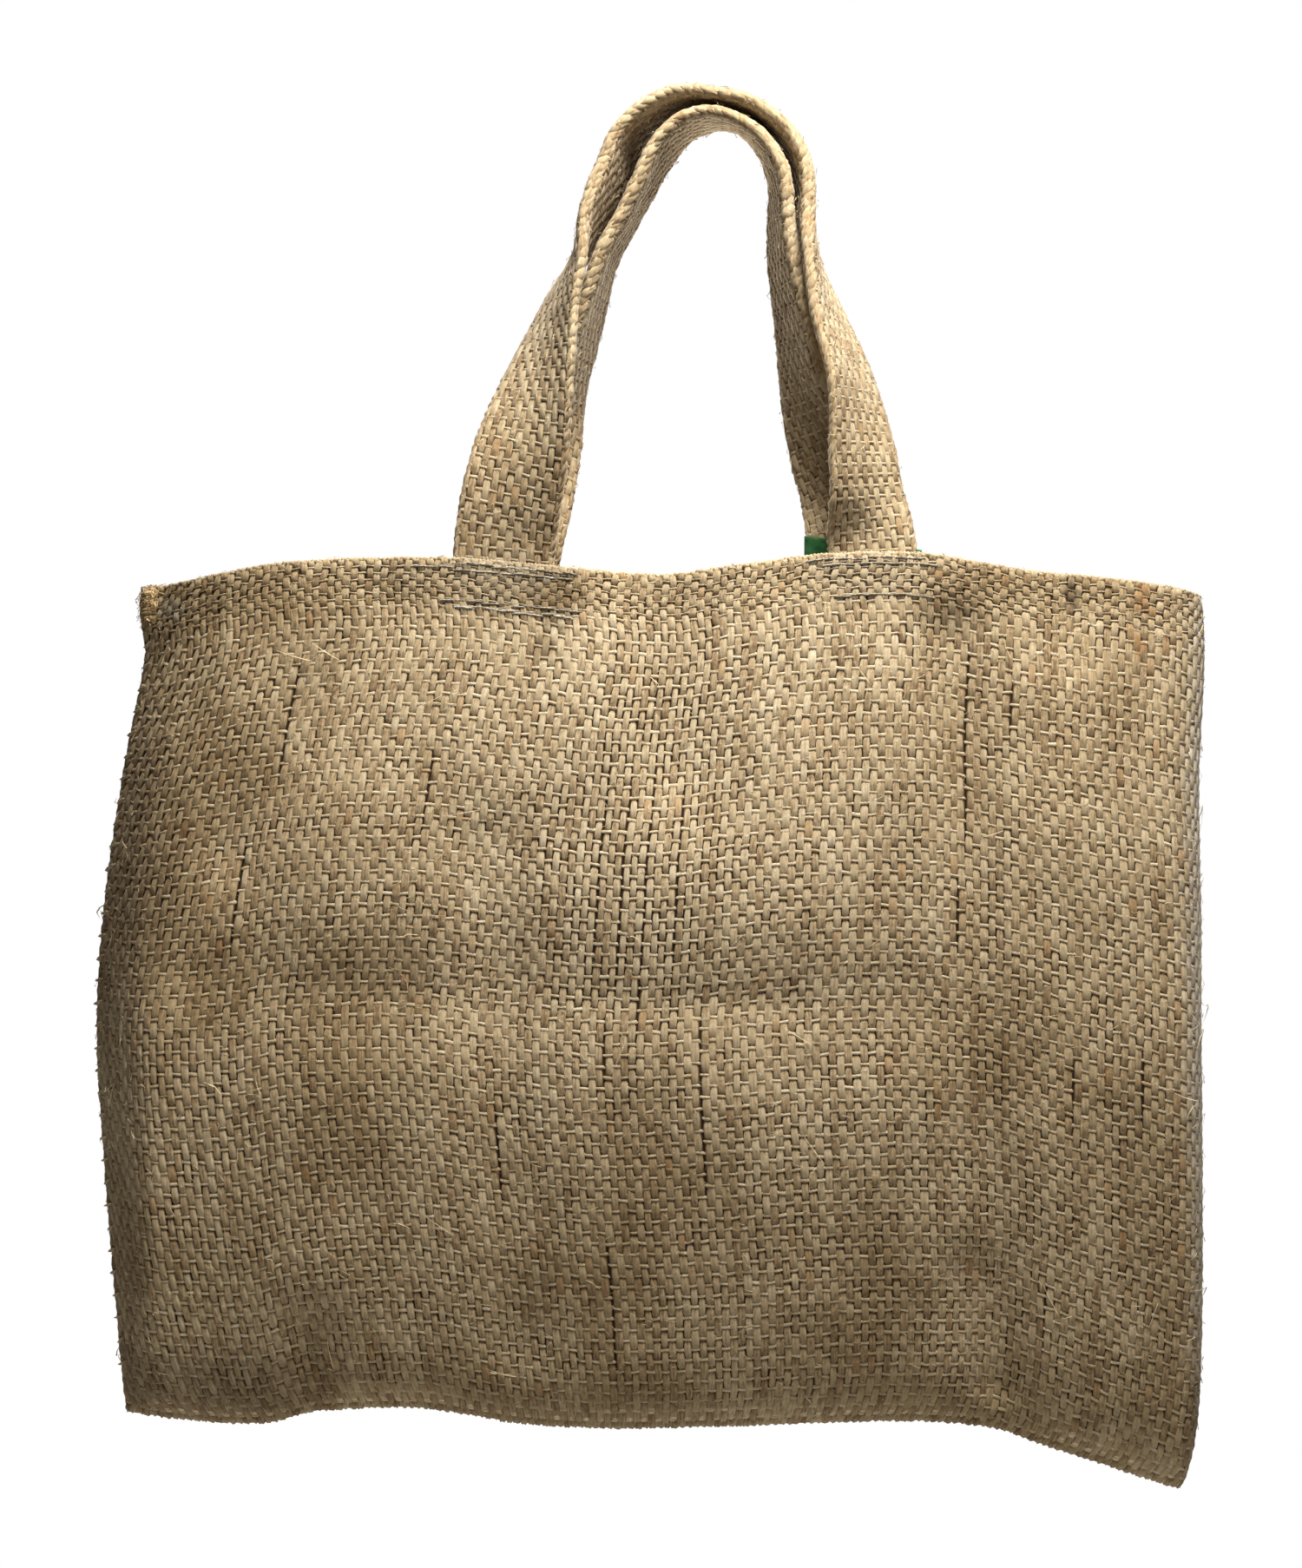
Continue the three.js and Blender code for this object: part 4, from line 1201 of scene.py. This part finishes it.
def backing_material(name, warps, rows):
    """The sheet behind the threads: painted shade under the weave, woven in colour elsewhere."""
    material, tree, shader = new_material(name, 0.95)
    thread = add(tree, "ShaderNodeUVMap", uv_map="thread").outputs["UV"]
    x, y, _ = separate(tree, thread)
    column, row = times(tree, x, float(warps)), times(tree, y, float(rows))
    across = calc(tree, "ABSOLUTE", calc(tree, "SINE", times(tree, column, math.pi)))
    phase = plus(tree, row, calc(tree, "FLOOR", column))
    along = calc(tree, "ABSOLUTE", calc(tree, "SINE", times(tree, phase, math.pi / 2)))
    crown = calc(tree, "POWER", times(tree, across, along), 0.6)
    crossing = combine(tree, calc(tree, "FLOOR", column), calc(tree, "FLOOR", row))
    tone = noise_of(tree, crossing, 0.7)
    # Shade is painted between the drawn threads, away from their crowns.
    fibre = group_in(tree, hemp_fibre, {
        "Thread": thread, "Tone": times(tree, tone, 0.9), "Hollow": minus(tree, 1.0, crown),
        "Across": warps * 6.0, "Along": rows * 0.6, "Lift": 0.0, "Depth": 0.9})
    # Outside, where real threads lie over it, the sheet shows only painted shade.
    gap_shade = mix_colour(tree, ramp(tree, across, 0.3, 0.85), *GAP_SHADE_COLOURS)
    colour = mix_colour(tree, attribute(tree, "outside"), fibre.outputs["Color"], gap_shade)
    fill(tree, shader.inputs["Base Color"], colour)
    bump = add(tree, "ShaderNodeBump", {"Height": crown, "Strength": 0.7, "Distance": 1.2 * MM})
    fill(tree, shader.inputs["Normal"], bump.outputs["Normal"])
    return material


def sewing_material():
    """Grey-white cotton thread, mottled with dust."""
    material, tree, shader = new_material("sewing_thread", 0.9, 0.2)
    place = add(tree, "ShaderNodeTexCoord").outputs["Object"]
    mottle = ramp(tree, noise_of(tree, place, 520.0, 2.0), 0.35, 0.65)
    colour = mix_colour(tree, mottle, srgb(176, 166, 146), srgb(220, 214, 200))
    fill(tree, shader.inputs["Base Color"], colour)
    return material


sewing_thread = sewing_material()
warp_yarn = yarn_material(
    "warp_yarn", across=1100.0, along=130.0, lift=-0.02, depth=0.7, dust_and_shade=1.0)
weft_yarn = yarn_material(
    "weft_yarn", across=400.0, along=1700.0, lift=0.2, depth=0.45, dust_and_shade=0.65)
loose_fibre = yarn_material(
    "loose_fibre", across=400.0, along=400.0, lift=0.2, depth=0.0, dust_and_shade=0.9)
body_backing = backing_material("body_backing", WARPS, ROW_SPAN)
bag_cloth.data.materials.append(body_backing)
print("materials:", [m.name for m in bpy.data.materials])

# %% [markdown]
# ## Weaving the bag
#
# The front and the back each get their warps and their wefts as pieces of their own, which
# keeps every piece below 200 000 triangles. The wefts use the same grid with the other parity,
# so that a dash always lies where the warp beside it has gone under.

# %% Weave on the body
BODY_MAP = {
    "Cloth": bag_cloth, "Girth": WARPS * WARP_PITCH * MM, "Row Pitch": FACE_PITCH * MM,
    "First Row": -RIM_ROWS, "Last Row": HEM_ROWS + FACE_ROWS - 0.02,
    "Row Start": float(ROW_START), "Row Span": float(ROW_SPAN), "Column Pitch": WARP_PITCH * MM,
}
FLOAT_SIZE = {"Width": 4.25 * MM, "Length": 10 * MM, "Height": RELIEF * MM, "Size Spread": 0.16}
DASH_SIZE = {"Width": 5.3 * MM, "Length": 2.0 * MM, "Height": 0.95 * MM, "Size Spread": 0.14}
body_threads = []
for face, first_column, seed in (("front", 0.5, 3), ("back", WARPS / 2 + 0.5, 4)):
    place = {**BODY_MAP, "Columns": WARPS // 4, "Rows": HEM_ROWS + FACE_ROWS + 1,
             "Start Row": -1.0, "First Column": first_column}
    body_threads.append(grow(face + "_warp", weave_threads, {
        **place, **FLOAT_SIZE, "Template": float_template, "Seed": seed, "Lean Spread": 0.06,
        "Edge Lean": 0.3 if face == "front" else 0.0, "Edge Mess": 1.0, "Material": warp_yarn}))
    body_threads.append(grow(face + "_weft", weave_threads, {
        **place, **DASH_SIZE, "Template": dash_template, "Parity": 1, "Seed": seed + 10,
        "Lean Spread": 0.2, "Edge Mess": 0.6, "Open Share": 0.0, "Slit Share": 0.25,
        "Material": weft_yarn}))

# %% [markdown]
# ## Weaving the straps
#
# The straps carry the same floats and dashes, which run all the way round. Where the cloth of a
# strap is folded over, its yarns also run slantwise over the edge and bulge, so the edge looks
# like a braid. The same tree lays one leaning, plump yarn after another there.

# %% Weave on the straps
BRAID_SIZE = {"Width": 3.9 * MM, "Length": 12.5 * MM, "Height": 1.9 * MM, "Size Spread": 0.15,
              "Lean": 0.42, "Lean Spread": 0.14, "Place Spread": 0.5 * MM}
BRAID_STEP = 0.9  # rows from one leaning yarn to the next


def strap_map(strap, length):
    """Where a strap's threads lie: its rows run along it and its columns round it."""
    rows = round(length / FACE_PITCH)
    return rows, {
        "Cloth": strap, "Girth": STRAP_GIRTH * MM, "Row Pitch": length / rows * MM,
        "First Row": 0.02, "Last Row": rows - 0.02, "Row Start": 0.0, "Row Span": float(rows),
        "Column Pitch": STRAP_GIRTH / STRAP_WARPS * MM, "Slit Share": 0.0, "Open Share": 0.0}


def weave_strap(strap, length, seed):
    """The warps, the wefts and both braided edges of a strap."""
    rows, place = strap_map(strap, length)
    strap.data.materials.append(backing_material(strap.name + "_backing", STRAP_WARPS, rows))
    place = {**place, "Columns": STRAP_WARPS // 2, "Rows": rows - 1, "Start Row": 1.0,
             "First Column": 0.5}
    pitch = STRAP_GIRTH / STRAP_WARPS
    warp = grow(strap.name + "_warp", weave_threads, {
        **place, **FLOAT_SIZE, "Width": (pitch + 0.5) * MM, "Template": float_template,
        "Seed": seed, "Material": warp_yarn})
    weft = grow(strap.name + "_weft", weave_threads, {
        **place, **DASH_SIZE, "Width": (pitch + 1.3) * MM, "Template": dash_template, "Parity": 1,
        "Seed": seed + 10, "Lean Spread": 0.16, "Material": weft_yarn})
    face, edge = STRAP_RING["face"], STRAP_RING["edge"]
    braid = grow(strap.name + "_edges", weave_threads, {
        **place, **BRAID_SIZE, "Template": float_template, "Columns": 2,
        "Rows": int((rows - 2) / BRAID_STEP), "Step": 1, "Row Step": BRAID_STEP,
        "Column Pitch": STRAP_GIRTH / 2 * MM, "First Column": (face + edge / 2) / (face + edge),
        "Seed": seed + 20, "Material": warp_yarn})
    return [warp, weft, braid]


front_strap_threads = weave_strap(front_strap, front_length, 5)
back_strap_threads = weave_strap(back_strap, back_length, 6)

# %% [markdown]
# ## The green tab
#
# A plain dark green tab is sewn inside the back hem, and its upper edge shows above the mouth.
# It is a thin closed sheet that follows the face of the strap behind it, dyed evenly and worn
# a little paler in patches.

# %% The tab
# Its edges, heights and thickness in millimetres.
LABEL = {"left": 45, "right": 101, "top_left": -192, "top_right": -198.5, "tall": 31, "thick": 1}
LABEL_LEAN = 0.1  # how far it leans forward above the rim, for each millimetre up
LABEL_THREADS = 9000.0  # radians a metre, for threads 0.35 mm thick


def make_label():
    """Rings from the tab's lower edge up, in front of the strap that it is sewn over."""
    across = np.linspace(0, 1, 41)
    rings = []
    for down in np.linspace(1, 0, 24):
        x = blend(LABEL["left"], LABEL["right"], across)
        z = blend(LABEL["top_left"], LABEL["top_right"], across) - LABEL["tall"] * down
        rim = height_at(x, 0)
        inside = face_depth(1, x, np.clip((rim - z) / SEAM_LENGTH, 0, 1)) - HEM_WALL
        seat = inside - STRAP_SEWN - 2 * STRAP_GAP - LABEL_LEAN * np.maximum(0, z - rim)
        seat = seat + 0.25 * np.sin(9 * across + 5 * down)
        near = np.stack([x, seat - LABEL["thick"], z], -1)
        far = np.stack([x, seat, z], -1)
        rings.append(np.concatenate([near[::-1], far]))
    return sleeve("green_tab", np.array(rings), np.linspace(0, 1, len(rings)))


def label_material():
    """Dark green cloth of fine threads, paler where it is worn."""
    material, tree, shader = new_material("green_cloth", 0.8, 0.1)
    place = add(tree, "ShaderNodeTexCoord").outputs["Object"]
    x, _, z = separate(tree, place)
    weave = times(tree, *(calc(tree, "SINE", times(tree, way, LABEL_THREADS)) for way in (x, z)))
    worn = ramp(tree, noise_of(tree, place, 240.0, 3.0), 0.4, 0.75)
    colour = mix_colour(tree, worn, srgb(36, 92, 46), srgb(62, 122, 70))
    fill(tree, shader.inputs["Base Color"], colour)
    bump = add(tree, "ShaderNodeBump", {"Height": weave, "Strength": 0.4, "Distance": 0.15 * MM})
    fill(tree, shader.inputs["Normal"], bump.outputs["Normal"])
    return material


green_tab = make_label()
green_tab.data.materials.append(label_material())
print("green_tab:", round(signed_volume(green_tab) * 1e6, 2), "cm3")

# %% [markdown]
# ## Stitches along the hem and the seam
#
# The hem and the straps are held by rows of pale cotton stitches, which have sunk into the
# cloth and show as broken, wavy lines, while round the rim the yarns bulge like a row of beads.
# Down the left edge a row of slanted stitches closes the seam, and at its top the spare yarn is
# wound round the corner. All of it is repeated dashes again, so the weaving tree lays it too.

# %% Stitches
# from x, to x, millimetres under the rim, and how many stitches
STITCH_ROWS = table(
    "from_x to_x drop count",
    (-122, -64, 2.2, 9), (-120, -66, 4.6, 8), (-126, -60, 19, 10), (-118, -66, 21.5, 8),
    (44, 98, 2, 8), (52, 104, 4.4, 7), (58, 104, 18.5, 7), (-140, -122, 3.4, 3),
)
STITCH_SIZE = {"Length": 1.7 * MM, "Height": 1.6 * MM, "Size Spread": 0.25,
               "Lean Spread": 0.12, "Place Spread": 0.6 * MM}
SEAM_STITCH = 10.7
PLAIN = {"Template": dash_template, "Step": 1, "Open Share": 0.0, "Slit Share": 0.0}


def hem_stitches():
    """A piece for each row of stitches, laid on the front of the hem."""
    pieces = []
    for k, (start, end, drop, count) in enumerate(zip(*STITCH_ROWS.values())):
        (first, _), (last, _) = thread_place(start, -225), thread_place(end, -225)
        pitch = (last - first) / count
        pieces.append(grow("hem_stitches_%d" % k, weave_threads, {
            **BODY_MAP, **PLAIN, **STITCH_SIZE, "Width": pitch * 1.4, "Columns": int(count),
            "Rows": 1, "Column Pitch": pitch, "First Column": first / pitch + 0.5,
            "Start Row": drop / HEM_PITCH, "Seed": 40 + k, "Material": sewing_thread}))
    return pieces


def edge_beads(name, row, height, seed, material):
    """The row of yarns that bulge where the cloth turns over at one of its long edges."""
    return grow(name, weave_threads, {
        **BODY_MAP, **PLAIN, "Template": float_template, "Columns": WARPS, "Rows": 1,
        "Start Row": row, "Width": 4.6 * MM, "Length": 5.4 * MM, "Height": height * MM,
        "Size Spread": 0.2, "Lean": 0.5, "Lean Spread": 0.3, "Place Spread": 0.3 * MM,
        "Seed": seed, "Material": material})


def seam_stitches():
    """The slanted stitches down the left edge, SEAM_STITCH millimetres from one to the next."""
    step = SEAM_STITCH / FACE_PITCH
    return grow("seam_stitches", weave_threads, {
        **BODY_MAP, **PLAIN, "Columns": 1, "Rows": int((FACE_ROWS - 2) / step), "Row Step": step,
        "Start Row": HEM_ROWS + 1.0, "Column Pitch": MM, "First Column": 3.2, "Width": 8 * MM,
        "Length": 1.7 * MM, "Height": 2.6 * MM, "Size Spread": 0.2, "Lean": -0.5,
        "Lean Spread": 0.15, "Seed": 52, "Material": weft_yarn})


def corner_winding():
    """The spare yarn that is wound round the seam's top, as thick turns one under another."""
    return grow("corner_winding", weave_threads, {
        **BODY_MAP, **PLAIN, "Template": float_template, "Columns": 1, "Rows": 8, "Row Step": 0.6,
        "Start Row": 0.3, "Column Pitch": MM, "First Column": 5.2, "Width": 4 * MM,
        "Length": 10 * MM, "Height": 2.6 * MM, "Size Spread": 0.18, "Lean": 1.4,
        "Lean Spread": 0.25, "Place Spread": 0.5 * MM, "Seed": 53, "Material": weft_yarn})


stitch_pieces = [
    *hem_stitches(), edge_beads("rim_beads", -0.3, 1.9, 51, weft_yarn),
    edge_beads("bottom_beads", HEM_ROWS + FACE_ROWS - 0.4, 1.5, 54, warp_yarn), seam_stitches(),
    corner_winding(),
]

# %% [markdown]
# ## Loose fibres
#
# Coarse hemp sheds: fine hairs stand off everywhere and catch the light along the edges. Each is
# one thin ribbon that curls and twists, scattered by the same tree as the weave and turned any
# way round. Short ones lie all over, a few long ones stray, and the wound corner is frayed.

# %% Scattered fibres
ANY_WAY = 3.2  # radians to either side
LOOSE = {"Template": hair_template, "Step": 1, "Lean Spread": ANY_WAY, "Open Share": 0.0,
         "Slit Share": 0.0, "Material": loose_fibre}
SHORT_HAIRS = {**LOOSE, "Width": 8 * MM, "Length": 8 * MM, "Height": 2 * MM, "Size Spread": 0.6,
               "Place Spread": 9 * MM}
body_fibres = grow("body_fibres", weave_threads, {
    **BODY_MAP, **SHORT_HAIRS, "Columns": 70, "Rows": 76, "Column Pitch": 15.8 * MM, "Seed": 9})
long_fibres = grow("long_fibres", weave_threads, {
    **BODY_MAP, **LOOSE, "Columns": 12, "Rows": 10, "Row Step": 8.0, "Column Pitch": 90 * MM,
    "Width": 26 * MM, "Length": 20 * MM, "Height": 4 * MM, "Size Spread": 0.5,
    "Place Spread": 40 * MM, "Seed": 14})
corner_fibres = grow("corner_fibres", weave_threads, {
    **BODY_MAP, **LOOSE, "Columns": 9, "Rows": 16, "Start Row": -0.8, "Row Step": 0.4,
    "Column Pitch": 1.1 * MM, "First Column": 0.6, "Width": 6 * MM, "Length": 12 * MM,
    "Height": 2.6 * MM, "Size Spread": 0.4, "Place Spread": 1.5 * MM, "Seed": 15})


def strap_fibres(strap, length, seed):
    """Short hairs in six columns round a strap."""
    rows, place = strap_map(strap, length)
    return grow(strap.name + "_fibres", weave_threads, {
        **place, **SHORT_HAIRS, "Columns": 6, "Rows": rows, "Start Row": 1.0,
        "Column Pitch": STRAP_GIRTH / 6 * MM, "Seed": seed})


front_strap_threads.append(strap_fibres(front_strap, front_length, 16))
back_strap_threads.append(strap_fibres(back_strap, back_length, 17))

# %% [markdown]
# ## What belongs to what
#
# Each of the four sheets stands in for a solid, whose own mesh is hidden. The threads, stitches
# and fibres hang on the same body as the cloth on which they lie. The three templates are only
# patterns, so they are taken away.

# %% Bodies and sheets
for piece, node in ((bag_cloth, "bag_body"), (front_strap, "front_handle"),
                    (back_strap, "back_handle"), (green_tab, "green_label")):
    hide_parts(node)
strap_threads = front_strap_threads + back_strap_threads
body_threads += [*stitch_pieces, body_fibres, long_fibres, corner_fibres]
for piece in [bag_cloth, *body_threads]:
    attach(piece, "root")
for piece in [front_strap, back_strap, *strap_threads]:
    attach(piece, "root")
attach(green_tab, "root")
for template in (float_template, dash_template, hair_template):
    bpy.data.objects.remove(template)
